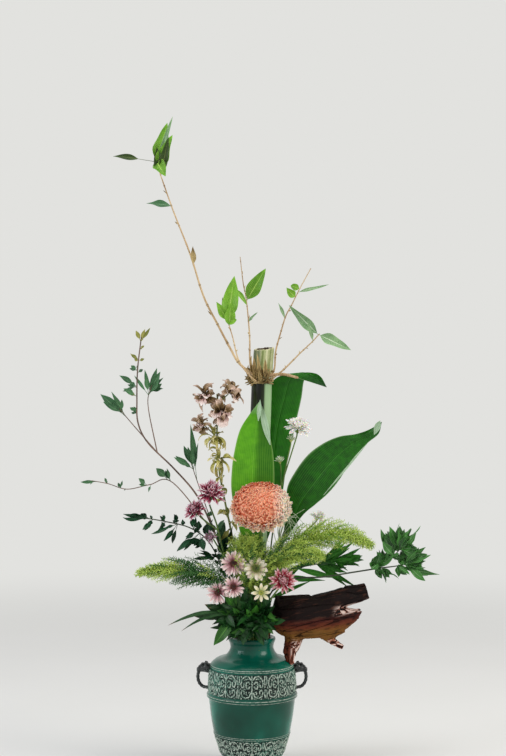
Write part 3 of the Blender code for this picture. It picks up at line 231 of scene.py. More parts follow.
# half width of a leaf along its length: a quick swell, then a long taper
def leafOutline(t, width, widest, blunt=0.85):
    rise = np.sin(0.5 * pi * np.clip(t / widest, 0, 1)) ** blunt
    fall = np.cos(0.5 * pi * np.clip((t - widest) / (1 - widest), 0, 1)) ** (blunt + 0.1)
    return 0.5 * width * np.where(t < widest, rise, fall)


# one ring of a thin closed blade: its surface thickened along up, thinning out to its edges
def bladeRing(surface, up, thick, s, fullness=1.04):
    body = np.outer(thick * np.sqrt(np.clip(fullness - s * s, 0, 1)), up)
    return np.vstack([surface + body, (surface - body)[-2:0:-1]])


# runs over the blade and back under it
def roundBlade(s):
    return np.concatenate([s, s[-2:0:-1]])


# a thin closed blade along a spine, with its heading and its side at each point: across it runs from -1 to 1
def addBlade(shape, spine, headings, sides, halves, cup, thick, columns, twist, ruffle, waves, tone, finish):
    shares = routeShares(spine)
    s = np.linspace(-1, 1, columns)
    rings = []
    for point, heading, side, half, share in zip(spine, headings, sides, halves, shares):
        up = np.cross(side, heading)
        turn = twist * share
        side, up = side * cos(turn) + up * sin(turn), up * cos(turn) - side * sin(turn)
        wave = ruffle * half * sin(waves * share + 5 * tone) * s * np.abs(s)
        surface = point + np.outer(s * half, side) + np.outer(cup * half * s * s + wave, up)
        rings.append(bladeRing(surface, up, thick * 0.5, s))
    addLoft(shape, rings, tone, finish, shares, roundBlade(s))


# a leaf from its foot to its tip, with a short stalk, a soft arch and a tip that turns
def addLeaf(shape, base, tip, width, facing, cup, rows, columns=5, sag=0.0, stalk=0.1, twist=0.0,
        ruffle=0.0, curl=0.0, tone=0.5, finish="greenStem", widest=0.4, thick=0.0004):
    facing = unit(facing)
    t = np.concatenate([[0.0], stalk + (1 - stalk) * np.linspace(0, 1, rows) ** 0.9])
    length = norm(tip - base)
    arch = 4 * t * (1 - t) * sag - curl * length * t ** 2 * (1 - t) * 2
    spine = base + np.outer(t, tip - base) + np.outer(arch, facing)
    blade = np.clip((t - stalk) / (1 - stalk), 0, 1)
    halves = np.maximum(leafOutline(blade, width, widest), 0.00045 * (1 - 0.6 * t))
    halves[-1] = 0.00012
    headings = [unit(step) for step in np.gradient(spine, axis=0)]
    across = [np.cross(heading, facing) for heading in headings]
    sides = [unit(side) if norm(side) > 0.08 else anySide(heading)
            for side, heading in zip(across, headings)]
    addBlade(shape, spine, headings, sides, halves, cup, thick, columns, twist, ruffle, 9, tone, finish)


# a petal that rolls up: it leaves its foot along a direction and turns away from its facing by roll radians
def addCurled(shape, foot, direction, facing, length, width, roll, tone, finish, twist, rows=12, columns=7,
        cup=0.6, ruffle=0.3, widest=0.55):
    direction = unit(direction)
    up = unit(facing - direction * np.dot(direction, facing))
    t = np.linspace(0, 1, rows + 1)
    turn = roll * t ** 1.4
    steps = np.outer(np.cos(turn), direction) - np.outer(np.sin(turn), up)
    spine = np.vstack([foot, foot + np.cumsum(steps[:-1] * length / rows, axis=0)])
    halves = np.maximum(leafOutline(t, width, widest, 0.7), width * 0.08)
    sides = [np.cross(direction, up)] * len(steps)
    addBlade(shape, spine, steps, sides, halves, cup, 0.0004, columns, twist, ruffle, 8, tone, finish)


# a round or drawn-out ball; the third of its radii lies along its axis
def addBall(shape, centre, radii, sides, rows, finish, axis=(0, 0, 1)):
    axis = unit(axis)
    side = anySide(axis)
    polar = np.linspace(0.06, pi - 0.06, rows)
    around = (circle(sides)[:, :2] * radii[:2]) @ (side, np.cross(axis, side))
    rings = [centre - axis * cos(p) * radii[2] + sin(p) * around for p in polar]
    addLoft(shape, rings, 0.5, finish, polar / pi)


# adds a mesh made by a modifier, turned and moved to its place
def addMesh(shape, mesh, matrix, finish):
    points = np.empty(len(mesh.vertices) * 3, np.float32)
    mesh.vertices.foreach_get("co", points)
    points = points.reshape(-1, 3) @ np.array(matrix.to_3x3()).T + np.array(matrix.translation)
    shape["faces"] += [[shape["size"] + i for i in face.vertices] for face in mesh.polygons]
    shape["finish"] += [finishIndex(shape, finish)] * len(mesh.polygons)
    shape["points"].append(points)
    for name in kept:
        values = np.full(len(mesh.vertices), 0.5, np.float32)
        if name in mesh.attributes:
            mesh.attributes[name].data.foreach_get("value", values)
        shape[name].append(values)
    shape["size"] += len(mesh.vertices)


# keeps values on a mesh's points for its finish to read
def keepValues(mesh, **values):
    for name, value in values.items():
        layer = mesh.attributes.new(name, "FLOAT", "POINT")
        layer.data.foreach_set("value", np.asarray(value, np.float32).reshape(-1))


def meshFrom(name, shape):
    mesh = bpy.data.meshes.new(name)
    mesh.from_pydata(np.vstack(shape["points"]).tolist(), [], shape["faces"])
    keepValues(mesh, **{key: np.concatenate(shape[key]) for key in kept})
    for finishName in shape["finishes"]:
        mesh.materials.append(materials[finishName])
    mesh.polygons.foreach_set("material_index", shape["finish"])
    return mesh


def newObject(name, data):
    item = bpy.data.objects.new(name, data)
    bpy.context.scene.collection.objects.link(item)
    return item


# the plain mesh that an object's modifiers give; the object is removed
def plainMesh(item):
    mesh = bpy.data.meshes.new_from_object(item.evaluated_get(bpy.context.evaluated_depsgraph_get()))
    item.modifiers.clear()
    bpy.data.objects.remove(item)
    return mesh


# overlapping shapes fused into one skin, and softened
def fusedMesh(mesh, voxel, smoothing):
    item = newObject("fused", mesh)
    remesh = item.modifiers.new("fuse", "REMESH")
    remesh.mode = "VOXEL"
    remesh.voxel_size = voxel
    item.modifiers.new("soften", "SMOOTH").iterations = smoothing
    return plainMesh(item)


# a finished piece from its shape or mesh; its name with underscores is the frame's node that it stands for
def placePiece(name, mesh, sharpBelow, node=None):
    if isinstance(mesh, dict):
        mesh = meshFrom(name, mesh)
    work = bmesh.new()
    work.from_mesh(mesh)
    bmesh.ops.recalc_face_normals(work, faces=work.faces)
    work.to_mesh(mesh)
    work.free()
    mesh.shade_smooth()
    mesh.set_sharp_from_angle(angle=radians(sharpBelow))
    mesh.validate()
    piece = newObject(name, mesh)
    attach(piece, "root")
    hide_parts(node or re.sub("([A-Z1-9])", r"_\1", name).lower())
leafLooks = {
    # deep green, lit green, veins, a pale rim painted along the edges as a highlight; veins to each side,
    # roughness; what only some have
    "bambooLeaf": ("#35700f", "#86c234", "#bcdf70", "#b4da6a", 5, 0.42, {"line": 0.5}),
    "bambooLeafPale": ("#4a7a44", "#8fb57e", "#dcebcd", "#dcebcd", 5, 0.45, {}),
    "bambooLeafOld": ("#1d3312", "#3d5a26", "#8a9458", "#77804a", 5, 0.5, {}),
    # the front leaf: its deeper half is painted shade and its pale tip a painted highlight
    "aspidistraBright": ("#22700e", "#68b81c", "#8fca4e", "#a9d27a", 11, 0.34,
                         {"rib": 0.03, "ribShow": 0.35, "line": 0.3, "half": "#145208", "tip": "#a3c49a"}),
    "aspidistraDeep": ("#083a05", "#2a8010", "#5aa83e", "#b4dca0", 11, 0.3,
                       {"rib": 0.03, "ribShow": 0.45, "line": 0.36}),
    # the back leaf: the last part of its blade, the folded-over flap, is darker
    "aspidistraOld": ("#0c4808", "#2c8414", "#5aa83e", "#b4dca0", 11, 0.32,
                      {"rib": 0.03, "ribShow": 0.45, "line": 0.34, "tip": "#26402a"}),
    "woodyLeaf": ("#1c4427", "#4b7d50", "#7da37a", "#6f9a6c", 3, 0.4, {}),
    "woodyLeafGold": ("#66702a", "#a5a04e", "#c2bb72", "#b3a862", 3, 0.5, {}),
    "glossLeaf": ("#061f0f", "#15482a", "#2f7346", "#22643a", 3, 0.28, {}),
    "lowLeafBright": ("#153f12", "#3d7f27", "#6fb04a", "#5fa040", 4, 0.34, {}),
    "leafFold": ("#5f8f58", "#b4cfae", "#cfe2c8", "#dcebd6", 5, 0.4, {}),
    "rightLeaf": ("#123c17", "#478a38", "#a4cc96", "#a9cf9c", 3, 0.33, {}),
    "fernLeaf": ("#164c17", "#388424", "#5fa041", "#4f9038", 4, 0.42, {}),
    "lowLeaf": ("#07200e", "#1c4b1e", "#3c7532", "#2f662a", 4, 0.34, {}),
    "lowLeafDry": ("#0b2612", "#264b26", "#456a3a", "#4a6a40", 4, 0.42, {"tip": "#80604a"}),
}


# living leaf: a waxy skin, fine raised veins, a pale midrib and uneven green from leaf to leaf
def leafMaterial(name, deep, lit, vein, edgeHighlight, veins, rough, more):
    add, place, along, across, tone = newMaterial(name, "along", "across", "tone")
    # cells about 9 mm across: the cloudy unevenness of a real leaf
    cloud = add("TexNoise", {"Vector": place, "Scale": 110, "Detail": 4})
    mixed = add("MULTIPLY_ADD", (cloud, 0.9, add("SUBTRACT", (tone, 0.45))))
    green = add("ValToRGB", (mixed,), stops=((0.05, deep), (0.95, lit)))
    # painted shade: one half of the blade may be painted a deeper green, as the side turned from the light
    side = add("MapRange", (across, 0.02, 0.3, 0, 0.7 if "half" in more else 0))
    green = add("MixRGB", (side, green, more.get("half", deep)))
    width = add("ABSOLUTE", (across,))
    lines = add("MULTIPLY", (width, veins * 2 * pi))
    ridges = add("COSINE", (lines,))
    sharp = add("MapRange", (ridges, 0.55, 1, 0, more.get("line", 0.4)))
    rib = add("MapRange", (width, more.get("rib", 0.11), 0.01, 0, more.get("ribShow", 1)))
    raised = add("MAXIMUM", (sharp, rib))
    fade = add("MapRange", (along, 1, 0.4, 0.25, 1))
    shown = add("MULTIPLY", (raised, fade))
    green = add("MixRGB", (shown, green, vein))
    # painted highlight: a pale rim along the blade's edges
    green = add("MixRGB", (add("MapRange", (width, 0.93, 1, 0, 0.55)), green, edgeHighlight))
    # the blade's last part turns to its tip colour, else to its lit green; the front leaf's pale tip is a
    # painted highlight
    end = add("MapRange", (along, 0.86, 1, 0, 0.85))
    relief = add("MULTIPLY_ADD", (cloud, 0.3, raised))
    rough = add("MapRange", (cloud, 0, 1, rough - 0.07, rough + 0.12))
    dressMaterial(name, add("MixRGB", (end, green, more.get("tip", lit))), rough, (relief, 0.35, 0.0004),
            {"IOR": 1.42, "Specular IOR Level": 0.3})


petalLooks = {
    # foot, body, tip, outer rows and oldest petals; from which row on, roughness, where the tip is palest,
    # how soft, and from where to where one side is painted pale as the side the light falls on
    "peachPetal": ("#d8603a", "#ea8157", "#f7b892", "#f8dcc0", 0.68, 0.55, 0.94, 0.5, (0.03, 0.05)),
    "peachRim": ("#f0a080", "#fad2b6", "#fdf0de", "#fbeeda", 0.8, 0.55, 0.98, 0.5, (0.018, 0.042)),
    "purplePetal": ("#5e0a2c", "#a8204f", "#fbe6ee", "#e6aec4", 1.1, 0.5, 0.98, 0.12, None),
    "fadedPetal": ("#7d5568", "#a9798f", "#d3b4c4", "#c9a8b8", 0.8, 0.6, 0.98, 0.12, None),
    "redPetal": ("#8a1028", "#c4324c", "#fbe0e2", "#ecb6be", 1.05, 0.5, 0.93, 0.12, None),
    "pinkPetal": ("#a0606a", "#d9aeb0", "#f6e6e0", "#e8cbc6", 0.75, 0.52, 0.9, 0.12, None),
    "creamPetal": ("#a9b070", "#e9dfb8", "#f6f0dc", "#efe2c8", 0.7, 0.52, 0.98, 0.12, None),
    "blushPetal": ("#a9a070", "#e8dcc4", "#f6ebe0", "#ecd6ca", 0.8, 0.52, 0.9, 0.12, None),
    "whitePetal": ("#dcdac2", "#f8f6f0", "#fefdfa", "#fbf9f4", 0.5, 0.5, 0.98, 0.4, None),
    "budPetal": ("#8fb068", "#d3e4bb", "#f5f9ec", "#dcebc8", 0.9, 0.5, 0.98, 0.12, None),
}


# ray floret: soft and matt with a faint sheen, fine lengthwise streaks, deeper where it is shaded at its foot
def petalMaterial(name, foot, body, tip, outer, outerFrom, rough, pale, soft, paintedLitSide):
    add, place, along, across, tone, row = newMaterial(name, "along", "across", "tone", "row")
    slow = add("MULTIPLY", (along, 0.15))
    # streaks about 0.4 mm apart on a 3 mm petal
    streaks = add("TexNoise", {"Vector": add("CombineXYZ", (across, slow, tone)), "Scale": 6, "Detail": 3})
    spread = add("MULTIPLY_ADD", (streaks, 0.35, add("SUBTRACT", (along, 0.17))))
    colour = add("ValToRGB", (spread,), stops=((0.12, foot), (pale - 0.43, body), (pale, tip)))
    aged = add("MULTIPLY_ADD", (tone, 0.22, row))
    older = add("MapRange", (aged, outerFrom, outerFrom + 0.4, 0, 0.92))
    colour = add("MixRGB", (older, colour, outer))
    # painted light: petals towards +X are painted pale cream, as the side the light falls on
    if paintedLitSide:
        east = add("SeparateXYZ", (place,), out="X")
        colour = add("MixRGB", (add("MapRange", (east, *paintedLitSide, 0, 0.95)), colour, "#fff1e0"))
    dressMaterial(name, colour, rough, (streaks, 0.25, 0.0003),
            {"Sheen Weight": 0.15, "Subsurface Weight": soft, "Subsurface Radius": (0.002, 0.001, 0.0006)})


stemLooks = {
    # two colours that drift along the stem, its grain across and along in waves a metre, roughness, relief
    "greenStem": ("#3a5a22", "#6f8f3e", (260, 260, 40), 0.45, 0.25),
    "orchidStem": ("#4c5a24", "#8f9a4a", (260, 260, 60), 0.5, 0.3),
    "woodyStem": ("#46342a", "#8c7060", (420, 420, 90), 0.7, 0.6),
    "darkStem": ("#1f2a18", "#45503a", (420, 420, 90), 0.6, 0.5),
    "bambooTwig": ("#a07c54", "#d8bd90", (600, 600, 35), 0.45, 0.3),
    "bambooHusk": ("#6b5228", "#d8c084", (500, 500, 60), 0.8, 0.8),
    "paleGrass": ("#a3b890", "#dfead0", (300, 300, 40), 0.5, 0.2),
    "yellowBud": ("#8a9a3c", "#c8cf7c", (300, 300, 120), 0.55, 0.4),
}


# skin of a stem: long thin streaks along it, paler and darker stretches, joints that show dark by their tone
def stemMaterial(name, one, two, grain, rough, relief):
    add, place, tone = newMaterial(name, "tone")
    grained = add("Mapping", {"Vector": place, "Scale": grain})
    streaks = add("TexNoise", {"Vector": grained, "Scale": 1, "Detail": 4})
    drift = add("TexNoise", {"Vector": place, "Scale": 24, "Detail": 2})
    both = add("MULTIPLY_ADD", (streaks, 0.6, add("SUBTRACT", (drift, 0.3))))
    skin = add("ValToRGB", (both,), stops=((0.3, one), (0.7, two)))
    joint = add("MapRange", (tone, 0.6, 1, 0, 0.65))
    dressMaterial(name, add("MixRGB", (joint, skin, "#3f3320")), rough, (streaks, relief, 0.0005))


# a colour that goes with each element's row and tone: feathery needles, each a random shade from dull green
# to yellow-green, or a daisy's tight florets, darker where they are still closed
def growingMaterial(name, share, old, young, start, end, rough):
    add, _, row, tone = newMaterial(name, "row", "tone")
    growth = add("MULTIPLY_ADD", (tone, share, row))
    dressMaterial(name, add("ValToRGB", (growth,), stops=((start, old), (end, young))), rough)


growingLooks = {
    "plumeYellow": (0.5, "#568c1c", "#d6e872", 0.15, 1, 0.6),
    "plumeGreen": (0.5, "#356a1c", "#86bd3a", 0.15, 1, 0.6),
    "plumeDark": (0.5, "#1c4420", "#447a34", 0.15, 1, 0.6),
    "maroonDisc": (0.4, "#26100e", "#7a4238", 0.2, 1.1, 0.7),
    "greenDisc": (0.4, "#2f3a1c", "#8a9648", 0.2, 1.1, 0.7),
    "yellowDisc": (0.4, "#6f8a3a", "#c8c85a", 0.2, 1.1, 0.7),
}

orchidLooks = {
    # foot, body, tip
    "orchidOld": ("#3a2614", "#8a7044", "#dcbfae"),
    "orchidYoung": ("#68702a", "#aba54e", "#e2d79c"),
    "orchidLip": ("#7a4640", "#e2c0b8", "#faf0ea"),
}


# an orchid's old sepals: thin, brown-olive and veined, paler and greener in the younger flowers below
def orchidMaterial(name, *colours):
    add, place, along, across = newMaterial(name, "along", "across")
    blotch = add("TexNoise", {"Vector": place, "Scale": 190, "Detail": 4})
    ribs = add("COSINE", (add("MULTIPLY", (across, 16)),))
    mixed = add("MULTIPLY_ADD", (blotch, 0.6, add("SUBTRACT", (along, 0.3))))
    ribbed = add("MULTIPLY_ADD", (ribs, 0.06, mixed))
    colour = add("ValToRGB", (ribbed,), stops=zip((0.1, 0.5, 0.95), colours))
    dressMaterial(name, colour, 0.5, (ribs, 0.3, 0.0003))


# glazed stoneware cast from an old bronze: glassy deep teal, grey-green and chalky where it stands proud
def vaseGlaze(name):
    add, place, raised, band = newMaterial(name, "raised", "band")
    # pools of glaze about 30 mm across, and specks of 2 mm
    pools = add("TexNoise", {"Vector": place, "Scale": 13, "Detail": 2, "Roughness": 0.45})
    specks = add("TexNoise", {"Vector": place, "Scale": 330, "Detail": 5})
    teal = add("ValToRGB", (pools,), stops=((0.3, "#04392c"), (0.5, "#065040"), (0.72, "#10806a")))
    hollow = add("MapRange", (raised, 0.5, 0.2, 0, 0.94))
    colour = add("MixRGB", (add("MULTIPLY", (hollow, band)), teal, "#07110e"))
    rubbed = add("MULTIPLY", (add("MapRange", (raised, 0.48, 0.78)),
            add("MapRange", (specks, 0.4, 0.58, 0.3))))
    worn = add("MULTIPLY", (rubbed, band))
    dull = add("MAXIMUM", (worn, add("MULTIPLY", (band, 0.35))))
    colour = add("MixRGB", (worn, colour, "#bcc8bb"))
    relief = specks, add("MULTIPLY_ADD", (band, 0.75, 0.05)), 0.0006
    dressMaterial(name, colour, add("MapRange", (dull, 0, 1, 0.2, 0.62)), relief,
            {"Coat Weight": 0.1, "Coat Roughness": 0.12, "Specular IOR Level": 0.22})


speckledLooks = {
    # specks a metre, detail, roughness, relief and its depth, colours with their places
    # near-black bronze glaze of the handles, worn paler and browner in specks
    "blackBronzeGlaze": (220, 4, 0.3, 0.3, 0.0006, (0.42, "#161a1b"), (0.6, "#2c3332"), (0.8, "#75807a")),
    # the inside of the cane: dry, brown and dull
    "bambooHollow": (160, 3, 0.85, 0, 0, (0.35, "#2c2114"), (0.7, "#6b5636")),
}


# one skin with specks of a few millimetres
def speckledMaterial(name, scale, detail, rough, relief, depth, *colours):
    add, place = newMaterial(name)
    specks = add("TexNoise", {"Vector": place, "Scale": scale, "Detail": detail})
    dressMaterial(name, add("ValToRGB", (specks,), stops=colours), rough, (specks, relief, depth))


# weathered root wood: near-black bark above, red-brown heartwood at its flank, amber below, pink where it is
# freshly broken, and pink painted highlights streaking the leg's right flank
def driftwoodMaterial(name):
    add, place, zone, fresh, grainAt = newMaterial(name, "zone", "fresh", "grain")
    # grain lines about 1.5 mm apart that run with the wood
    grained = add("Mapping", {"Vector": place, "Scale": (60, 420, 420)})
    fine = add("TexNoise", {"Vector": grained, "Scale": 1, "Detail": 5, "Distortion": 0.6})
    wander = add("MULTIPLY_ADD", (fine, 0.3, add("SUBTRACT", (zone, 0.15))))
    wood = add("ValToRGB", (wander,), stops=((0.08, "#7a5220"), (0.3, "#642e1a"), (0.52, "#451812"),
            (0.68, "#130605"), (1, "#140807")))
    splits = add("MULTIPLY_ADD", (fine, 0.35, grainAt))
    broken = add("ValToRGB", (splits,), stops=((0.54, "#42180f"), (0.66, "#ab6650"), (0.8, "#f6ddd2")))
    colour = add("MixRGB", (fresh, wood, broken))
    # painted highlight: the ridges between the cracks are painted paler
    colour = add("MixRGB", (add("MapRange", (grainAt, 0.6, 0.85, 0, 0.22)), colour, "#754634"))
    # painted shade: the cracks and the low grain are darkened towards black
    colour = add("MixRGB", (add("MapRange", (grainAt, 0.45, 0.15, 0, 0.7)), colour, "#0c0504"))
    dressMaterial(name, colour, 0.72, (fine, 0.7, 0.0012), {"Specular IOR Level": 0.16})


# green bamboo cane: waxy, striped lengthwise below its ring, pale cream-green above it, straw-white where cut
def caneMaterial(name):
    add, place, turn, cut = newMaterial(name, "across", "tone")
    height = add("SeparateXYZ", (place,), out="Z")
    around = add("CombineXYZ", (turn, add("MULTIPLY", (height, 1.2))))
    # stripes of 2 to 6 mm round a 33 mm cane
    stripes = add("TexNoise", {"Vector": around, "Scale": 9, "Detail": 3})
    fibres = add("TexNoise", {"Vector": around, "Scale": 60, "Detail": 2})
    mixed = add("MULTIPLY_ADD", (fibres, 0.25, stripes))
    lower = add("ValToRGB", (mixed,), stops=((0.5, "#0b1007"), (0.62, "#171f0d"), (0.76, "#33451f")))
    # below the ring the cane's front-right side is pale green
    lower = add("MixRGB", (add("MapRange", (turn, 0.6, 0.66, 0, 0.9)), lower, "#a5c796"))
    upper = add("ValToRGB", (mixed,), stops=((0.48, "#7f8f52"), (0.62, "#b4bd86"), (0.76, "#dcdcb4")))
    # painted shade: above the ring all but the front-right of the cane is painted a darker olive
    upper = add("MixRGB", (add("MapRange", (turn, 0.5, 0.36, 0, 0.8)), upper, "#4f5c34"))
    ring = add("MapRange", (height, caneRing - 0.004, caneRing + 0.002))
    skin = add("MixRGB", (ring, lower, upper))
    dressMaterial(name, add("MixRGB", (cut, skin, "#cfc9a0")), 0.42, (mixed, 0.2, 0.0005),
            {"Specular IOR Level": 0.3})


print("finishes")
for maker, looks in ((leafMaterial, leafLooks), (petalMaterial, petalLooks), (stemMaterial, stemLooks),
        (growingMaterial, growingLooks), (orchidMaterial, orchidLooks), (speckledMaterial, speckledLooks),
        (vaseGlaze, {"tealStonewareGlaze": ()}), (driftwoodMaterial, {"weatheredRootWood": ()})):
    for name, look in looks.items():
        maker(name, *look)




vase = {
    # radius and height of the outside, up to the lip, then of the inside, down to the floor
    "outside": ((50.4, 0), (50, 6), (46.4, 11), (44, 18), (45.6, 22.5), (50, 24.5), (53.6, 37), (59.8, 56),
                (61.2, 57.5), (61.2, 60.5), (65.6, 85), (69.3, 114.5), (71.8, 116), (71.8, 120.5),
                (70.1, 122.5), (69, 147), (66.4, 163), (66.6, 166), (64, 170), (57, 175.5), (47, 178.5),
                (40, 183), (35, 191), (34.8, 198), (37.6, 206), (37.2, 209.5), (34.5, 210.4)),
    "inside": ((31.2, 209.5), (29.6, 203), (29.8, 188), (36, 179), (52, 171.5), (61, 158), (64, 127),
               (60, 85), (48, 35), (37, 12)),
    "columns": 460,
    "bands": ((26.2, 56), (123, 162.2)),   # lowest and highest height of each carved band
    "rings": (57.7, 60.2, 116.5, 120, 164.1, 166.8, 23.5),     # heights of the raised beads
    "panels": 10,
    "fretCell": 7.8,     # side of one square spiral
    "fretTurns": 1.15,
    "fretRelief": 1.15,
    "motifRelief": 1.5,
    "fineRow": 0.8,      # from row to row of points on the carved bands, and elsewhere
    "plainRow": 4,
    "foot": ((44, 2), (47.5, 0)),
    "beadHeight": 0.5,
    "stray": (0.5, 0.4),     # how far the worn mould's lines wander, round and up
    "strayScale": 420,       # waves a metre
    "throwing": (0.18, 0.1),     # depth of the wheel's broad and fine waves
}

# half of one panel's scrollwork, mirrored about its middle: strokes across and up, in hundredths of the panel
scrollStrokes = (
    ((0, 6), (0, 94)),
    ((8, 80), (24, 92), (50, 93), (72, 82), (80, 64), (72, 50), (58, 52), (56, 66)),
    ((8, 30), (20, 14), (44, 8), (68, 14), (78, 28), (70, 40), (56, 36), (56, 26)),
    ((16, 64), (24, 72), (38, 70), (44, 58), (36, 46), (22, 46), (16, 54)),
    ((94, 8), (90, 26), (95, 40)),
    ((95, 60), (90, 76), (95, 92)),
)


# distance from each point to a line of strokes
def strokeDistance(x, y, stroke):
    nearest = np.full(x.shape, 9.0)
    for (ax, ay), (bx, by) in zip(stroke, stroke[1:]):
        length = (bx - ax) ** 2 + (by - ay) ** 2
        t = np.clip(((x - ax) * (bx - ax) + (y - ay) * (by - ay)) / length, 0, 1)
        nearest = np.minimum(nearest, np.hypot(x - ax - t * (bx - ax), y - ay - t * (by - ay)))
    return nearest


# relief of one band, 0 in its ground to 1 on its scrolls, and its height in metres
def bandRelief(angle, height, low, high, radius):
    panel = 2 * pi / vase["panels"]
    inPanel = np.abs((angle / panel) % 1 * 2 - 1)
    up = (height - low) / (high - low)
    halfWidth, tall = panel * radius / 2, high - low
    cell = vase["fretCell"] / 1000
    x = (angle * radius / cell) % 1 * 2 - 1
    y = ((height - low) / cell) % 1 * 2 - 1
    swap = np.where(((angle * radius // cell) + ((height - low) // cell)) % 2 > 0, -1, 1)
    turned = np.arctan2(y, x * swap)
    spiral = np.cos(2 * pi * np.maximum(abs(x), abs(y)) * vase["fretTurns"] - turned)
    fret = ease(spiral, -0.15, 0.5)
    away = np.hypot(inPanel * halfWidth - 0.3 * halfWidth, up * tall - 0.58 * tall)
    for stroke in scrollStrokes:
        scaled = [(x / 100 * halfWidth, y / 100 * tall) for x, y in stroke]
        away = np.minimum(away, strokeDistance(inPanel * halfWidth, up * tall, scaled))
    scroll = ease(away, 0.0014, 0.0007)
    # a sunk line keeps the scrolls clear of the frets
    fret = fret * ease(away, 0.0019, 0.0025)
    inside = ease(up, 0.0, 0.05) * ease(up, 1.0, 0.95)
    relief = np.maximum(fret * vase["fretRelief"], scroll * vase["motifRelief"]) / 1000 * inside
    return relief, np.maximum(fret, scroll) * inside, inside


def vaseRows():
    profile = smoothRoute(metres(vase["outside"]), 4)
    steps = distancesAlong(profile)
    places, place = [0.0], 0.0
    while place < steps[-1]:
        height = np.interp(place, steps, profile[:, 1])
        near = any(low - 0.003 < height < high + 0.003 for low, high in metres(vase["bands"]))
        near = near or (abs(height - metres(vase["rings"])) < 0.0022).any()
        curved = height > 0.168 or height < 0.024
        place += (vase["fineRow"] if near else vase["plainRow"] * (0.45 if curved else 1.0)) / 1000
        places.append(min(place, steps[-1]))
    return np.column_stack([np.interp(places, steps, profile[:, 0]), np.interp(places, steps, profile[:, 1])])


def buildVase():
    rows = vaseRows()
    angle = roundAngles(vase["columns"])
    grid, heights = np.meshgrid(angle, rows[:, 1])
    radii = np.repeat(rows[:, :1], len(angle), axis=1)
    raised, band = np.zeros_like(radii), np.zeros_like(radii)
    strayRound, strayUp = metres(vase["stray"])
    beadHeight, broad, fine = metres((vase["beadHeight"], *vase["throwing"]))
    for low, high in metres(vase["bands"]):
        middle = np.interp((low + high) / 2, rows[:, 1], rows[:, 0])
        within = (heights > low) & (heights < high)
        # the mould was worn: its lines wander and are filled in here and there
        wander, worn = np.zeros_like(radii), np.ones_like(radii)
        for i, j in np.argwhere(within):
            turn = grid[i, j]
            at = Vector((cos(turn) * middle, sin(turn) * middle, heights[i, j])) * vase["strayScale"]
            wander[i, j] = noise.noise(at)
            worn[i, j] = 0.8 + 0.55 * noise.noise(at * 1.7)
        relief, height, inside = bandRelief(grid + wander * strayRound / middle, heights + wander * strayUp,
                low, high, middle)
        radii += np.where(within, relief * worn, 0)
        raised += np.where(within, np.clip(height * worn * 1.15, 0, 1), 0)
        band = np.maximum(band, np.where(within, inside, 0))
    for ring in metres(vase["rings"]):
        bead = ease(np.abs(heights - ring), 0.0011, 0.0002)
        radii += bead * beadHeight
        raised = np.maximum(raised, bead * 0.9)
        band = np.maximum(band, bead)
    # the wheel leaves faint waves and the clay is a little uneven
    radii += broad * np.sin(3 * grid + heights * 60) + fine * np.sin(heights * 900)
    outer = np.stack([radii * np.cos(grid), radii * np.sin(grid), heights], axis=-1)
    foot, inner = ([circle(len(angle)) * (r, r, z) for r, z in profile]
            for profile in (metres(vase["foot"]), smoothRoute(metres(vase["inside"]), 2)))
    rings = np.concatenate([foot, outer, inner])
    shape = newShape()
    addLoft(shape, rings, finish="tealStonewareGlaze")
    mesh = meshFrom("vaseBody", shape)
    margins = (len(foot), len(inner)), (0, 0)
    keepValues(mesh, raised=np.pad(raised, margins), band=np.pad(band, margins))
    placePiece("vaseBody", mesh, 75)


handle = {
    "voxel": 0.45,     # its shapes are fused on a grid of this
    # the loop's line, to the side and up, from under the head round to the tail
    "strap": ((74.5, 157.5), (83, 157.2), (86.5, 149), (85, 138.5), (79, 131.2), (70.5, 129.2)),
    "thick": 2.7,
    # sections of the head from the vase out: to the side, height over and under the middle, depth, middle
    "head": ((66.5, 7.6, 7.4, 160), (70.5, 8.2, 8, 160.5), (74.5, 7.6, 7.4, 161), (78.5, 6, 6.2, 160),
             (82.5, 4.8, 5.4, 158.8), (86.2, 4.4, 5, 158), (88.5, 2.6, 3.2, 157.6)),
    # eye and nostril: place and size
    "balls": ((79, 4.6, 164.5, 1.7), (87.2, 2.2, 160, 1.2)),
    # brow, ear and jowl, then the crest: points and radii
    "folds": ((((77, 3, 166.5), (79.5, 5.5, 167.2), (82.2, 6, 165)), (1.1, 1.3, 0.7)),
              (((72, 4.5, 165.5), (72.5, 6.8, 168), (75, 8.2, 169.2)), (2.6, 2.2, 1.2)),
              (((71, 7.8, 159), (74, 8.6, 157), (76.5, 7, 159)), (1.2, 1.2, 0.8)),
              (((74, 0, 168.5), (79, 0, 167.2), (85, 0, 163.2)), (1.4, 1.2, 1.0))),
}


def buildHandle(side, name):
    shape = newShape()
    strap = smoothRoute([(side * x, 0, z) for x, z in metres(handle["strap"])], 8)
    ribs = handle["thick"] / 1000 * (1 + 0.1 * np.sin(np.linspace(0, 60, len(strap))))
    addTube(shape, strap, ribs, 14, "blackBronzeGlaze", roundTip=False)
    rings = [circle(16)[:, [2, 0, 1]] * (side * x, deep, tall) + (0, 0, z)
            for x, tall, deep, z in metres(handle["head"])]
    addLoft(shape, rings, finish="blackBronzeGlaze")
    for flip in (-1, 1):
        for x, y, z, size in metres(handle["balls"]):
            addBall(shape, (side * x, flip * y, z), (size, size, size), 10, 7, "blackBronzeGlaze")
        for points, radii in handle["folds"]:
            route = smoothRoute(metres(points) * (side, flip, 1), 4)
            addTube(shape, route, metres(radii), 8, "blackBronzeGlaze")
    placePiece(name, fusedMesh(meshFrom(name, shape), handle["voxel"] / 1000, 3), 180)


print("vase")
buildVase()
buildHandle(-1, "handleLeft")
buildHandle(1, "handleRight")


driftwood = {
    "voxel": 1.1,     # the wood is carved on a grid of this
    "grainDepth": 1.6,
    "crackDepth": 3.0,
    "darkAbove": 250,     # the bark's lower edge where the wood leaves the vase, rising to the right
}


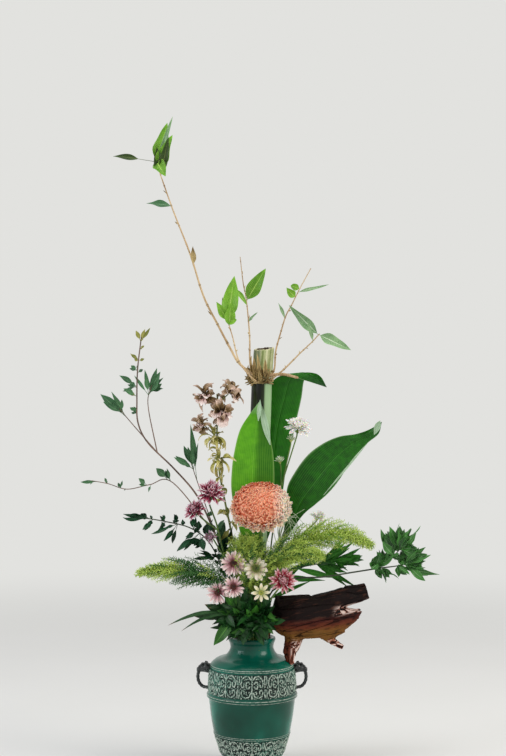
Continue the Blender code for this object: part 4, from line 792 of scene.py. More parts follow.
def buildDriftwood():
    # the frame's own solid, fused and carved
    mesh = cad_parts["driftwood"].data.copy()
    work = bmesh.new()
    work.from_mesh(mesh)
    bmesh.ops.remove_doubles(work, verts=work.verts, dist=0.00001)
    work.to_mesh(mesh)
    work.free()
    carved = fusedMesh(mesh, driftwood["voxel"] / 1000, 6)
    count = len(carved.vertices)
    points, normals = np.empty(count * 3), np.empty(count * 3)
    carved.vertices.foreach_get("co", points)
    carved.vertices.foreach_get("normal", normals)
    points, normals = points.reshape(-1, 3), normals.reshape(-1, 3)
    x, y, z = points.T
    # the grain runs along the slab, and down the leg where the wood bends
    leg = ease(z, 0.215, 0.195) * ease(x, 0.1, 0.08)
    tilt = z - 0.2 * (x - 0.05)
    grain, crack = np.empty(count), np.empty(count)
    for i in range(count):
        slab = Vector((x[i] * 34, y[i] * 230, tilt[i] * 250))
        down = Vector((x[i] * 300, y[i] * 240, z[i] * 40))
        at = slab.lerp(down, leg[i])
        grain[i] = noise.fractal(at, 0.9, 2.2, 4)
        crack[i] = noise.noise(at * 0.33 + Vector((7, 3, 1)))
    grain = np.clip(grain * 0.55 + 0.5, 0, 1)
    gash = ease(np.abs(crack), 0.09, 0.0)
    # no carving where the wood is seated against the vase
    seat = ease(np.hypot(x, y), 0.04, 0.047) * ease(z, 0.168, 0.176)
    depth = ((grain - 0.75) * driftwood["grainDepth"] - gash * driftwood["crackDepth"]) / 1000 * seat
    points = points + normals * depth[:, None]
    carved.vertices.foreach_set("co", points.reshape(-1).astype(np.float32))
    # zone runs from amber through red heartwood to bark; the pink mask marks where the wood is newly broken,
    # and painted highlights: pink streaks down the leg's right flank
    bark = driftwood["darkAbove"] / 1000 + 0.1 * np.clip(x - 0.07, 0, 0.2)
    zone = 0.1 + 0.75 * ease(z, bark - 0.036, bark + 0.006)
    zone -= 0.1 * ease(np.abs(x - 0.105), 0.03, 0.0) * ease(z, 0.235, 0.212)
    stub = ease(x, 0.118, 0.124) * ease(z, 0.213, 0.207)
    # painted highlight: pale streaks along the grain down the leg's right flank
    legHighlight = ease(z, 0.214, 0.198) * ease(x + 0.2 * y, 0.054, 0.06) * ease(x, 0.094, 0.084)
    zone = np.maximum(zone, 0.34 * ease(z, 0.214, 0.2) * ease(x, 0.094, 0.084))
    cleft = ease(np.abs(z - (0.256 + 0.1 * (x - 0.14))), 0.01, 0.003) * ease(x, 0.125, 0.145)
    fresh = np.maximum(np.maximum(stub * 0.95, legHighlight * ease(grain, 0.36, 0.52)),
            cleft * ease(grain, 0.4, 0.55) * 0.9)
    keepValues(carved, zone=zone, fresh=fresh, grain=grain - gash * 0.5)
    carved.materials.clear()
    carved.materials.append(materials["weatheredRootWood"])
    placePiece("driftwoodPiece", carved, 180, "driftwood")


cane = {
    "radius": 16.5,
    "wall": 4,
    "ring": 624,
    "top": 673.6,
    "slant": 4.5,     # of the cut at its top
    "sides": 56,
    "axis": ((-2, 3, 12.3), (2, 5, 205), (9, 10, 415), (16, 15, 624), (19.5, 16.5, 673.6)),
    # sections of the swollen ring: height from its middle, share of the radius
    "swelling": ((-6, 1), (-4, 1.02), (-2.8, 1.07), (-1.8, 1.055), (-0.8, 1.03), (0.2, 1.065), (1.4, 1.06),
                 (2.8, 1.01), (5, 0.995)),
}
caneRadius, caneWall, caneRing, caneTop = metres([cane[key] for key in ("radius", "wall", "ring", "top")])


# one ring of the cane's skin, sloping where it is cut
def caneSection(height, radius, slant=0.0):
    axis = metres(cane["axis"])
    centre = [np.interp(height, axis[:, 2], axis[:, i]) for i in range(3)]
    turn, away = roundAngles(cane["sides"]), circle(cane["sides"])
    drop = slant * (0.5 - away @ (0.3, 0.4, 0))
    drop += 0.0007 * np.sin(5 * turn) * np.cos(11 * turn) * (slant > 0)
    return centre + away * (radius, radius, 0) - np.outer(drop, (0, 0, 1))


def buildCane():
    caneMaterial("bambooCane")
    inner = caneRadius - caneWall
    # height, radius and tone of each section: up the outside, over the cut, and down the inside to the closed
    # wall at the ring; the tone shows the ring's line and the cut
    sections = [(vaseFloor, inner * 0.2, 0.6)]
    for height in np.linspace(vaseFloor, caneRing - 0.008, 24):
        sections.append((height, caneRadius * (1 + 0.006 * sin(height * 70)), 0))
    for lift, swell in cane["swelling"]:
        sections.append((caneRing + lift / 1000, caneRadius * swell, 0.35 if abs(lift) < 1.2 else 0))
    for height in np.linspace(caneRing + 0.012, caneTop - 0.006, 6):
        sections.append((height, caneRadius * 0.99, 0))
    sections += [(caneTop - 0.0006, caneRadius * 0.99, 0.4), (caneTop, caneRadius * 0.97, 1)]
    hollow = [(caneTop, inner * 1.03, 1), (caneTop - 0.001, inner, 0.5), (caneRing + 0.006, inner, 0),
            (caneRing + 0.002, inner * 0.8, 0), (caneRing + 0.002, inner * 0.1, 0)]
    finishes = ["bambooCane"] * len(sections) + ["bambooHollow"] * (len(hollow) - 1)
    slant = cane["slant"] / 1000
    rings = [caneSection(height, radius, slant if height > caneTop - 0.002 else 0)
            for height, radius, _ in sections + hollow]
    shape = newShape()
    addLoft(shape, rings, np.array(sections + hollow)[:, 2:], finishes)
    placePiece("bambooCulm", shape, 60)


twigs = {
    # radii, joint spacing, route, then its leaves: tip, width, where along the twig, curl, finish
    "bambooBranchLong": ((2.1, 0.9), 34, (
        (12, 11, 622), (2, 0, 629), (-20, -10, 647), (-34, -12, 670), (-53, -13, 706), (-77, -14, 754),
        (-98, -13, 820), (-125, -6, 889), (-145, 0, 945), (-155, 3, 974)), (
        (-168, -12, 902, 13, 0.8, 0.1, "woodyLeaf"), (-94, -20, 833, 9, 0.55, 0.25, "bambooHusk"),
        (-222, -4, 978, 10, 0.99, -0.2, "bambooLeafOld"), (-127, -4, 1012, 22, 0.955, -0.12, "bambooLeaf"),
        (-136, 10, 1034, 22, 0.985, 0.1, "bambooLeaf"), (-127, 4, 1043, 9, 0.97, -0.1, "bambooLeafPale"),
        (-152, -6, 992, 16, 0.94, 0.12, "bambooLeafOld"), (-137, -20, 944, 21, 0.995, -0.3, "bambooLeaf"),
        (-133, -14, 1008, 13, 0.93, 0.05, "bambooLeafOld"))),
    "bambooBranchLeft": ((1.5, 0.8), 26, (
        (14, 9, 616), (8, -4, 618), (-4, -18, 628), (-21, -25, 652), (-31, -26, 690), (-40, -26, 719)), (
        (-56, -36, 744, 15, 0.97, 0.1, "bambooLeaf"), (-28, -18, 786, 26, 0.96, 0.06, "bambooLeaf"),
        (-34, -36, 742, 17, 0.9, -0.1, "bambooLeaf"), (-47, -18, 752, 12, 0.93, 0.1, "bambooLeafOld"),
        (-24, -30, 716, 14, 0.95, 0.2, "bambooLeaf"))),
    "bambooTwigUpright": ((1.6, 0.6), 24, (
        (4, 4, 634), (-3, 4, 648), (-4, 6, 694), (-9, 6, 749), (-14, 5, 775), (-19, 4, 818)), (
        (22, -2, 799, 23, 0.62, 0.05, "bambooLeaf"), (-30, -4, 770, 9, 0.58, 0.1, "bambooLeaf"),
        (9, 0, 729, 5, 0.44, 0.1, "bambooLeafPale"))),
    "bambooTwigRightHigh": ((1.6, 0.6), 22, (
        (30, 5, 626), (36, 0, 640), (38, 1, 667), (46, 2, 697), (54, 0, 723), (64, 0, 742), (77, -2, 768),
        (94, -4, 799)), (
        (55, -10, 768, 13, 0.72, 0.3, "bambooLeaf"), (123, 4, 774, 6, 0.77, 0.15, "bambooLeafPale"),
        (42, -6, 744, 6, 0.52, 0.1, "bambooLeafPale"), (62, 4, 772, 11, 0.8, -0.15, "bambooLeaf"))),
    "bambooTwigRightLow": ((1.6, 0.8), 22, (
        (26, -1, 620), (36, -8, 626), (51, -12, 638), (77, -16, 664), (95, -18, 681), (107, -20, 694)), (
        (59, -8, 740, 17, 0.98, 0.15, "bambooLeafPale"), (156, -34, 668, 19, 0.985, 0.1, "bambooLeafPale"),
        (88, -26, 712, 6, 0.86, 0.1, "bambooLeafPale"))),
    "bambooSpur": ((2.9, 1.9), 12, (
        (28, -4, 628.5), (50, -6, 630), (73, -10, 624.5)), ()),
}


# a jointed twig: it swells and darkens at each joint
def addJointed(shape, route, radii, joint):
    shares = routeShares(route)
    phase = (distancesAlong(route) / joint) % 1
    bump = np.exp(-((phase - 0.5) / 0.045) ** 2)
    radius = np.interp(shares, [0, 1], radii) * (1 + 0.38 * bump)
    addTube(shape, route, radius, 10, "bambooTwig", 0.3 + 0.7 * bump)


def buildTwigs():
    for number, (name, (radii, joint, points, leaves)) in enumerate(twigs.items()):
        route = smoothRoute(metres(points), 24)
        shape = newShape()
        addJointed(shape, route, metres(radii), joint / 1000)
        chance = seeded(40 + number)
        for x, y, z, width, place, curl, leafFinish in leaves:
            tip = metres((x, y, z))
            facing = (chance.uniform(-0.3, 0.3), -1, chance.uniform(0.1, 0.5))
            foot = pointOn(route, place)
            addLeaf(shape, foot, tip, width / 1000, facing, sag=chance.uniform(0, 0.003),
                    stalk=0.4 if leafFinish == "bambooLeafOld" and foot[0] - tip[0] > 0.06 else 0.05,
                    cup=0.35, rows=16, columns=11, twist=chance.uniform(-0.6, 0.6), ruffle=0.28,
                    curl=curl * 0.8, tone=chance.uniform(0.3, 0.8), finish=leafFinish, widest=0.32)
        # short dead side shoots and bud scales at some joints
        for place in np.arange(0.2, 0.95, 0.13) if leaves else ():
            foot = pointOn(route, place)
            out = unit(chance.normal(size=3)) * 0.0045 + (pointOn(route, place + 0.02) - foot) * 1.2
            addLeaf(shape, foot, foot + out, 0.0024, chance.normal(size=3), 0.6, 4, finish="bambooHusk")
        placePiece(name, shape, 60)


husks = {
    "count": 80,
    "around": (150, 330),       # degrees round the cane that carry the tangle
    "length": (5, 12),
    "bindings": (-8.5, -5.5, -3, 4, 7.5),     # roots that run round the cane: height over the ring
    "straws": 12,               # split sheaths that stand up against the cane above the ring
    "strawsAround": (185, 290),
    "strawLength": (16, 40),
}


# a place near the cane's ring: degrees round it, height over the ring, how far off the skin; and the way out
def nearRing(chance, around, lift, clear):
    angle = radians(chance.uniform(*around))
    away = np.array([cos(angle), sin(angle), 0])
    centre = caneSection(caneRing + chance.uniform(*lift), caneRadius).mean(axis=0)
    return centre + away * (caneRadius + clear), away


def buildHusks():
    shape = newShape()
    chance = seeded(7)
    for lift in metres(husks["bindings"]):
        ring = caneSection(caneRing + lift, caneRadius + 0.00155)
        route = ring + chance.normal(scale=0.0003, size=ring.shape)
        route[:, 2] += 0.0008 * np.sin(np.linspace(0, 12, len(route)) + lift * 900)
        addTube(shape, np.vstack([route, route[:1]]), (0.0009, 0.0012, 0.001), 8, "bambooHusk")
    # husks, and root stubs for every third
    for i in range(husks["count"]):
        foot, away = nearRing(chance, husks["around"], (-0.009, 0.011), 0.001)
        reach = chance.uniform(*metres(husks["length"]))
        tip = foot + unit(away + chance.normal(scale=0.45, size=3)) * reach
        if i % 3:
            addLeaf(shape, foot, tip, reach * 0.42, chance.normal(size=3) + (0, 0, 1.5), cup=0.7, rows=6,
                    curl=chance.uniform(-0.4, 0.4), tone=chance.uniform(0.2, 0.9), finish="bambooHusk",
                    thick=0.0006)
        else:
            route = smoothRoute([foot, (foot + tip) / 2 + chance.normal(scale=0.0012, size=3), tip], 5)
            addTube(shape, route, (0.0013, 0.001, 0.0005), 7, "bambooHusk", chance.uniform(0.2, 0.7))
    for _ in range(husks["straws"]):
        foot, away = nearRing(chance, husks["strawsAround"], (-0.004, 0.006), 0.0022)
        rise = chance.uniform(*metres(husks["strawLength"]))
        lean = away * rise * chance.uniform(0.05, 0.35) + chance.normal(scale=0.003, size=3)
        addLeaf(shape, foot - (0, 0, 0.006), foot + (0, 0, rise) + lean, chance.uniform(0.0035, 0.0075), away,
                sag=0.0015, cup=0.9, rows=8, columns=7, twist=chance.uniform(-0.8, 0.8),
                tone=chance.uniform(0, 0.4), finish="bambooHusk", thick=0.0005)
    placePiece("bambooSheath", shape, 60)


print("wood and bamboo")
buildDriftwood()
buildCane()
buildTwigs()
buildHusks()


broadLeaves = {
    "aspidistraLeafFront": {
        "foot": (-3, -15.5), "finish": "aspidistraBright", "tone": 0.62,
        "stem": ((-3, -18.5, 260), (-3, -20, 330), (-2, -21.5, 372)),
        # left edge, midrib and right edge from the blade's foot up, then its tip
        "spans": (
            ((-5, -21, 340), (-3, -20.8, 340), (-1, -21, 340)),
            ((-19, -23, 380), (-2, -21.5, 380), (16, -23, 380)),
            ((-32, -23.5, 439), (-0.5, -21.5, 439), (33, -23.5, 439)),
            ((-32, -25, 478), (1, -22, 478), (35.2, -25, 478)),
            ((-27.5, -27, 510), (3, -23, 510), (32.5, -27, 510)),
            ((-19, -28, 542), (5.5, -24, 542), (26, -28, 542)),
            ((-5, -25, 565), (8, -23, 565), (18.5, -25, 565))),
        "tip": (12, -21, 587),
        # edges that are folded over, painted pale as a sheen: foot, tip, width, where widest
        "rolled": (((29, -29, 518), (11.8, -26.2, 588), 10.5, 0.45),
            ((10, -28, 556), (13, -27.5, 590), 7, 0.5)),
    },
    "aspidistraLeafBack": {
        "foot": (9, 25), "finish": "aspidistraOld", "tone": 0.55,
        "stem": ((11, 30, 260), (18, 35, 340), (26, 38, 402)),
        "spans": (
            ((21.5, 37, 360), (23, 37.2, 360), (24.5, 37, 360)),
            ((8, 40, 420), (28, 38.5, 420), (46, 37, 420)),
            ((6, 42, 480), (33, 40, 480), (56, 38, 480)),
            ((11, 43, 545), (41, 41.5, 545), (70, 40, 545)),
            ((22, 41, 590), (52, 39.5, 590), (80, 37, 590)),
            ((32, 37, 617), (60, 36, 619), (85, 31, 621)),
            ((50, 33, 627), (74, 30, 631), (98, 20, 628)),
            ((82, 22, 621), (95, 16, 629), (111, 10, 626))),
        "tip": (120, 5, 609),
    },
    "aspidistraLeafRight": {
        "foot": (20, 16.5), "finish": "aspidistraDeep", "tone": 0.35,
        "stem": ((21.5, 18, 270), (34, 20, 330), (60, 18, 384)),
        "spans": (
            ((48, 19.5, 362), (49.5, 19, 360), (51, 18.5, 358)),
            ((56, 21, 410), (68, 18, 400), (80, 15, 401)),
            ((56, 24, 445), (79, 19, 425), (102, 12, 421)),
            ((69, 25, 472), (97, 18, 450), (121, 10, 438)),
            ((90, 26, 500), (117, 18, 476), (139, 8, 460)),
            ((115, 26, 519), (139, 18, 500), (157, 8, 488)),
            ((141, 24, 530), (159, 17, 516), (174, 9, 508)),
            ((168, 20, 534), (179, 15, 528), (188, 9, 522)),
            ((190, 14, 542), (197, 10, 539), (203, 6, 535))),
        "tip": (208, 2, 554),
        "rolled": (((196, 6, 533), (205, -1, 556), 10, 0.6), ((115, 8.5, 436), (187, 6.5, 521.5), 3.2, 0.5)),
    },
}
broadLeafLook = {
    "perSpan": 9,     # rows of points from each line of the spans to the next
    "columns": 37,
    "thick": 0.5,
    "ribs": 9,
    "ribDepth": 0.22,
    "midribDepth": 1,
}


def buildBroadLeaves():
    look = broadLeafLook
    thick, ribDepth, midribDepth = metres([look[key] for key in ("thick", "ribDepth", "midribDepth")])
    s = np.linspace(-1, 1, look["columns"])
    # a smooth curve through left edge, midrib and right edge
    weights = np.column_stack([s * (s - 1) / 2, 1 - s * s, s * (s + 1) / 2])
    veins = ribDepth * np.cos(np.abs(s) * look["ribs"] * 2 * pi) - midribDepth * np.exp(-(s / 0.06) ** 2)
    for number, (name, leaf) in enumerate(broadLeaves.items()):
        tip = metres(leaf["tip"])
        left, middle, right = [smoothRoute([*line, tip], look["perSpan"])
                for line in metres(leaf["spans"]).swapaxes(0, 1)]
        shares = np.linspace(0, 1, len(middle))
        rings = []
        for share, *points, ahead in zip(shares, left, middle, right, np.gradient(middle, axis=0)):
            edgeToEdge = points[2] - points[0]
            normal, width = unit(np.cross(edgeToEdge, ahead)), norm(edgeToEdge) / 2
            fold = 0.1 * width * (np.sqrt(s * s + 0.01) - 0.1)
            sway = 0.02 * width * np.sin(15 * share + number) * s * np.abs(s)
            surface = weights @ points + np.outer(veins * min(1, width / 0.012) - sway - fold, normal)
            rings.append(bladeRing(surface, normal, thick * min(1, width / 0.004), s, 1.02))
        shape = newShape()
        rings[-1] = tip + (rings[-2] - rings[-2].mean(axis=0)) * 0.05
        addLoft(shape, rings, leaf["tone"], leaf["finish"], shares, roundBlade(s))
        addTube(shape, stemRoute(leaf["foot"], leaf["stem"], 8), (0.0024, 0.0019), 12)
        # painted highlight: the folded edges are painted a pale sheen over the dark green
        for foot, end, width, widest in leaf.get("rolled", ()):
            addLeaf(shape, metres(foot), metres(end), width / 1000, (-0.2, -1, 0), stalk=0.0, cup=0.4,
                    rows=14, columns=11, curl=0.08, tone=0.7, finish="leafFold", widest=widest)
        placePiece(name, shape, 80)


# leaves are tip, width and where along the stem, worked out where it isn't given; twigs are where they leave,
# their points and their own leaves
branches = {
    "branchLeft": {
        "slot": "woody_leaf", "foot": (-24, -1.5), "radii": (2.2, 1),
        "stemFinish": "woodyStem", "leafFinish": "woodyLeaf",
        "stalk": 0.25, "swell": 0.95, "fill": 46, "goldAbove": 650,
        "route": ((-28, 1, 270), (-45, 4, 335), (-66, 6, 390), (-90, 5, 438), (-126, 2, 480), (-166, -2, 520),
            (-182, -3, 552), (-184, -2, 589), (-183, 0, 638), (-177, 0, 690)),
        "leaves": (
            (-171, -3, 702, 7), (-186, 3, 700, 7), (-173, 4, 676, 6), (-192, -4, 662, 7), (-172, -5, 655, 8),
            (-194, 4, 644, 9), (-175, 6, 638, 8), (-212, -4, 628, 11), (-205, -7, 607, 11), (-196, 8, 617, 9),
            (-195, -4, 577, 8), (-190, 5, 572, 7), (-36, -14, 382, 14), (-44, -12, 398, 12),
            (-52, -16, 374, 13), (-34, -14, 356, 13), (-66, -10, 412, 12), (-54, -12, 352, 12)),
        "twigs": (
            (0.73, ((-166, -6, 581), (-160, -8, 612)), (
                (-154, -12, 606, 8), (-171, -8, 637, 7), (-146, -10, 634, 12), (-152, 0, 640, 9),
                (-144, -4, 615, 9))),
            (0.73, ((-198, 0, 558), (-214, 3, 577)), (
                (-208, -3, 590, 6), (-243, 4, 598, 15), (-226, 10, 602, 10), (-238, -3, 586, 10))),
            (0.505, ((-127, 3, 456.5), (-164, 4, 453), (-200, 2, 446), (-230, -2, 455), (-256, -4, 460)), (
                (-274, -4, 458, 6), (-258, -6, 454, 9), (-236, 3, 464, 8), (-214, -6, 457, 8),
                (-205, 4, 444, 6), (-181, -4, 464, 9), (-166, 4, 441, 8), (-153, -5, 480, 13),
                (-139, 3, 476, 11))),
            (0.47, ((-90, -2, 466), (-98, -5, 493)), (
                (-98, -10, 550, 11), (-86, -8, 520, 11), (-109, -4, 516, 10), (-122, -8, 500, 10)))),
    },
    "sprigLeftLow": {
        "slot": "dark_leaf", "foot": (-24.5, -9.5), "radii": (1.4, 0.9),
        "stemFinish": "darkStem", "leafFinish": "glossLeaf",
        "stalk": 0.3, "swell": 1.1, "fill": 84, "crumple": 2.2,
        "route": ((-31, -10, 262), (-47, -10.5, 318), (-68, -13, 362), (-98, -19, 386), (-140, -22, 397),
            (-176, -23, 403)),
        "leaves": (
            (-198, -24, 408, 9), (-170, -28, 383, 9), (-162, -18, 406, 13), (-150, -28, 381, 14),
            (-143, -20, 407, 11), (-140, -26, 366, 7), (-124, -18, 408, 9), (-119, -30, 350, 11),
            (-110, -18, 400, 10), (-106, -26, 368, 8), (-95, -16, 402, 12), (-84, -26, 398, 12),
            (-93, -26, 338, 7), (-101, -20, 360, 10), (-72, -12, 392, 11), (-64, -20, 343, 10),
            (-56, -15, 352, 10), (-38, -22, 374, 13), (-34, -24, 356, 13), (-50, -22, 336, 12),
            (-30, -20, 390, 13), (-42, -26, 322, 12), (-26, -22, 340, 12)),
    },
    "branchRight": {
        "slot": "woody_leaf", "foot": (22, -11), "radii": (1.7, 1.2),
        "stemFinish": "darkStem", "leafFinish": "rightLeaf",
        "stalk": 0.1, "swell": 1.05, "fill": 190, "crumple": 2.4, "widest": 0.52,
        "route": ((22.5, -12, 262), (40, -15, 294), (68, -17, 305.5), (113, -17, 308), (159, -16, 315),
            (205, -14, 322)),
        "leaves": (
            (208, -22, 336, 10), (210, -24, 311, 11), (211, -6, 346, 13)),
        "twigs": (
            (0.99, ((225, -12, 340), (244, -10, 362)), (
                (208, -6, 352, 14), (240, -20, 338, 14), (222, -4, 374, 15), (212, -16, 378, 14),
                (262, -14, 352, 15), (236, -6, 388, 14), (269, -6, 388, 14), (254, -14, 384, 11))),
            (0.985, ((235, -15, 326), (256, -15, 332)), (
                (218, -24, 308, 14), (242, -8, 344, 14), (246, -24, 312, 15), (266, -10, 352, 14),
                (272, -24, 322, 13), (279, -14, 344, 14), (298, -18, 312, 9)))),
    },
    "fernRight": {
        "slot": "dark_leaf", "foot": (23.5, 11), "radii": (1.4, 1),
        "stemFinish": "darkStem", "leafFinish": "fernLeaf",
        "stalk": 0.04, "swell": 1.0, "fill": 46,
        "route": ((24.5, 11, 262), (36, 12, 300), (70, 14, 317), (112, 15, 326), (152, 15, 334)),
        "leaves": (
            (178, 14, 338, 10, 0.985), (172, 6, 324, 9, 0.95), (158, 20, 350, 9, 0.9),
            (152, 6, 312, 10, 0.88), (138, 22, 344, 9, 0.82), (136, 6, 304, 10, 0.8), (118, 22, 338, 9, 0.74),
            (118, 8, 299, 10, 0.72), (92, 22, 336, 9, 0.64), (94, 8, 298, 9, 0.62)),
    },
    "lowFoliage": {
        "slot": "dark_leaf", "foot": (-12.5, -24), "radii": (1.3, 1.3),
        "stemFinish": "darkStem", "leafFinish": "lowLeaf",
        "stalk": 0.05, "swell": 1.15, "fill": 40, "tangle": 300, "dryLeftOf": -60,
        "route": ((-13, -32, 226), (-14, -42, 238), (-22, -48, 246)),
        "leaves": (
            (-34, -54, 222, 16, 0.99), (-24, -52, 272, 14, 0.96)),
        "twigs": (
            (0.97, ((-30, -49, 250), (-40, -50, 254)), (
                (-74, -55, 270, 15, 0.9), (-131, -60, 238, 8, 0.92), (-92, -56, 252, 13, 0.95),
                (-110, -58, 229, 7, 0.6), (-60, -56, 206, 17, 0.5), (-60, -48, 286, 12, 0.8),
                (-42, -48, 292, 14, 0.4), (-26, -50, 290, 14, 0.3))),
            (0.93, ((-4, -46, 246), (10, -46, 248), (22, -46, 250)), (
                (-14, -56, 206, 15, 0.3), (0, -52, 274, 14, 0.45), (19, -50, 206, 12, 0.6),
                (24, -54, 214, 15, 0.7), (30, -52, 270, 13, 0.85), (36, -52, 240, 12, 0.97),
                (-12, -48, 296, 14, 0.2), (0, -50, 288, 14, 0.4), (14, -48, 292, 14, 0.6),
                (26, -50, 290, 14, 0.85)))),
    },
}


def addBranchLeaf(shape, branch, foot, tip, width, chance):
    leafFinish = branch["leafFinish"]
    if tip[2] > branch.get("goldAbove", 9999) / 1000 or chance.random() < 0.05 and "goldAbove" in branch:
        leafFinish = "woodyLeafGold"
    if tip[0] < branch.get("dryLeftOf", -9999) / 1000:
        leafFinish = "lowLeafDry"
    # painted light: a fifth of the tangle's leaves take a lit copy of the low leaves' green
    elif "tangle" in branch and chance.random() < 0.2:
        leafFinish = "lowLeafBright"
    facing = (chance.uniform(-0.6, 0.6), -1, chance.uniform(0.0, 0.9))
    sag, crumple = chance.uniform(-0.001, 0.002), branch.get("crumple", 1.0)
    if "tangle" in branch and norm(foot - tip) > 0.06:
        # long leaves arch over and are narrow
        facing, sag, width = (0.1, -0.7, 1), 0.016, width * 0.8
    addLeaf(shape, foot, tip, width * branch["swell"], facing, sag=sag, stalk=branch["stalk"],
            cup=chance.uniform(0.1, 0.4), rows=9, columns=7, twist=chance.uniform(-0.7, 0.7) * crumple,
            ruffle=chance.uniform(0, 0.15) * crumple, curl=chance.uniform(-0.05, 0.25) * crumple,
            tone=chance.uniform(0.1, 0.9), finish=leafFinish, widest=branch.get("widest", 0.42))


# leaves crowded over the vase's mouth, each on a twig of the main sprigs and none of them in its neck
def addTangle(shape, branch, carriers, chance):
    for _ in range(branch.get("tangle", 0)):
        carrier = carriers[1 + chance.integers(len(carriers) - 1)][0]
        start = pointOn(carrier, chance.uniform(0, 0.8))
        foot = start + chance.normal(size=3) * (0.007, 0.005, 0.007) + (0.004, 0.006, 0)
        aim = unit(chance.normal(size=3) * (1.3, 0.45, 0.8) + (0, -0.35, -0.1))
        aim *= chance.uniform(0.014, 0.036)
        aim[2] = max(aim[2], 0.203 - foot[2])
        if np.hypot(*(foot + aim)[:2]) < 0.044:
            aim[2] = max(aim[2], 0.216 - foot[2])
        route = smoothRoute([start, (start + foot) / 2 + (0, 0, 0.001), foot], 3)
        addTube(shape, route, 0.0005, 6, branch["stemFinish"])
        addBranchLeaf(shape, branch, foot, foot + aim, chance.uniform(0.004, 0.011), chance)


def buildBranches():
    for number, (name, branch) in enumerate(branches.items()):
        chance = seeded(100 + number)
        shape = newShape()
        route = stemRoute(branch["foot"], branch["route"], 10)
        radii = metres(branch["radii"])
        addTube(shape, route, radii, 10, branch["stemFinish"])
        carriers = [(route, branch["leaves"])]
        for place, points, leaves in branch.get("twigs", ()):
            twig = smoothRoute([pointOn(route, place), *metres(points)], 8)
            addTube(shape, twig, (radii[1], radii[1] * 0.6), 8, branch["stemFinish"])
            carriers.append((twig, leaves))
        known = []
        for carrier, leaves in carriers:
            for x, y, z, width, *place in leaves:
                tip = metres((x, y, z))
                # the leaf leaves its stem a little before the place nearest to its tip
                away, distances = norm(carrier - tip, axis=1), distancesAlong(carrier)
                nearest = max(0.05, (distances[away.argmin()] - 0.6 * away.min()) / distances[-1])
                foot = pointOn(carrier, place[0] if place else nearest)
                width = min(width / 1000, 0.46 * norm(foot - tip))
                addBranchLeaf(shape, branch, foot, tip, width, chance)
                short = norm(foot - tip) < (0.036 if "tangle" in branch else 0.055)
                if short and (carrier is not route or "twigs" not in branch or not place):
                    known.append((foot, tip, width))
        # smaller leaves between the main ones, turned a little from a neighbour
        for _ in range(branch["fill"]):
            foot, tip, width = known[chance.integers(len(known))]
            aim = tip - foot
            aim = (aim + chance.normal(scale=0.32, size=3) * norm(aim)) * chance.uniform(0.55, 0.92)
            addBranchLeaf(shape, branch, foot, foot + aim, width * chance.uniform(0.6, 0.95), chance)
        addTangle(shape, branch, carriers, chance)
        placePiece(name, shape, 70)


print("leaves and branches")
buildBroadLeaves()
buildBranches()
# an object for a node tree to repeat; its tone and row come from the tree
def petalCarrier(name, shape):
    mesh = meshFrom(name, shape)
    for attribute in ("tone", "row"):
        mesh.attributes.remove(mesh.attributes[attribute])
    return newObject(name, mesh)


# a petal as a closed thin blade lying along +X, its inner face up
def petalObject(name, length, width, cup, hook, point):
    shape = newShape()
    rows, columns = 5, 4
    length, width = metres((length, width))
    t = np.linspace(0, 1, rows + 1)
    outline = np.sqrt(np.clip(1 - np.abs(2 * t - 1.12) ** (2.6 - point), 0, 1)) * (1 - point * 0.55 * t ** 2)
    outline[0], outline[-1] = 0.32, 0.16
    bend = hook * t ** 2.2
    step = length / rows
    x = np.concatenate([[0], np.cumsum(np.cos(bend[1:]) * step)])
    z = np.concatenate([[0], np.cumsum(np.sin(bend[1:]) * step)])
    s = np.linspace(-1, 1, columns)
    rings = []
    for i, half in enumerate(width / 2 * outline):
        up = np.array([-sin(bend[i]), 0, cos(bend[i])])
        base = np.column_stack([np.full(columns, x[i]), s * half, np.full(columns, z[i])])
        rings.append(bladeRing(base + np.outer(cup * half * s * s, up), up, 0.00022, s, 1.1))
    addLoft(shape, rings, along=t, across=roundBlade(s))
    return petalCarrier(name, shape)


# a rod along +X with a few sides, as a floret of a disc or a curved needle
def rodObject(name, length, width, places, swells, turn, bow=0.0, flat=1.0):
    shape = newShape()
    length, width = metres((length, width))
    x, y, z = np.ones(len(turn)), np.cos(turn), flat * np.sin(turn)
    rings = [np.column_stack([length * place * x, width * swell * y + length * bow * place * place,
            width * swell * z]) for place, swell in zip(places, swells)]
    addLoft(shape, rings, along=places, across=np.array(turn) / pi - 1)
    return petalCarrier(name, shape)


# a new node tree, how to add nodes to it, and what its inputs give inside it
def newTree(name, inputs):
    tree = bpy.data.node_groups.new(name, "GeometryNodeTree")
    for label, kind in inputs.items():
        tree.interface.new_socket(name=label, in_out="INPUT", socket_type="NodeSocket" + kind)
    tree.interface.new_socket(name="Geometry", in_out="OUTPUT", socket_type="NodeSocketGeometry")
    return tree, partial(addNode, tree), tree.nodes.new("NodeGroupInput").outputs


# the end of a node tree: real petals or needles, and their finish
def endTree(tree, geometry, material):
    real = addNode(tree, "GeometryNodeRealizeInstances", (geometry,))
    dressed = addNode(tree, "GeometryNodeSetMaterial", {"Geometry": real, "Material": material})
    tree.links.new(dressed, tree.nodes.new("NodeGroupOutput").inputs[0])
    return tree


# petals set over a domed head by the golden turn, from its pole down to its rim
petalInputs = {
    "Petal": "Object", "Finish": "Material", "Count": "Int", "Start Polar": "Float", "End Polar": "Float",
    "Radius": "Float", "Height": "Float", "Lift Start": "Float", "Lift End": "Float",
    "Scale Start": "Float", "Scale End": "Float", "Jitter": "Float", "Seed": "Int", "Turn": "Float",
}


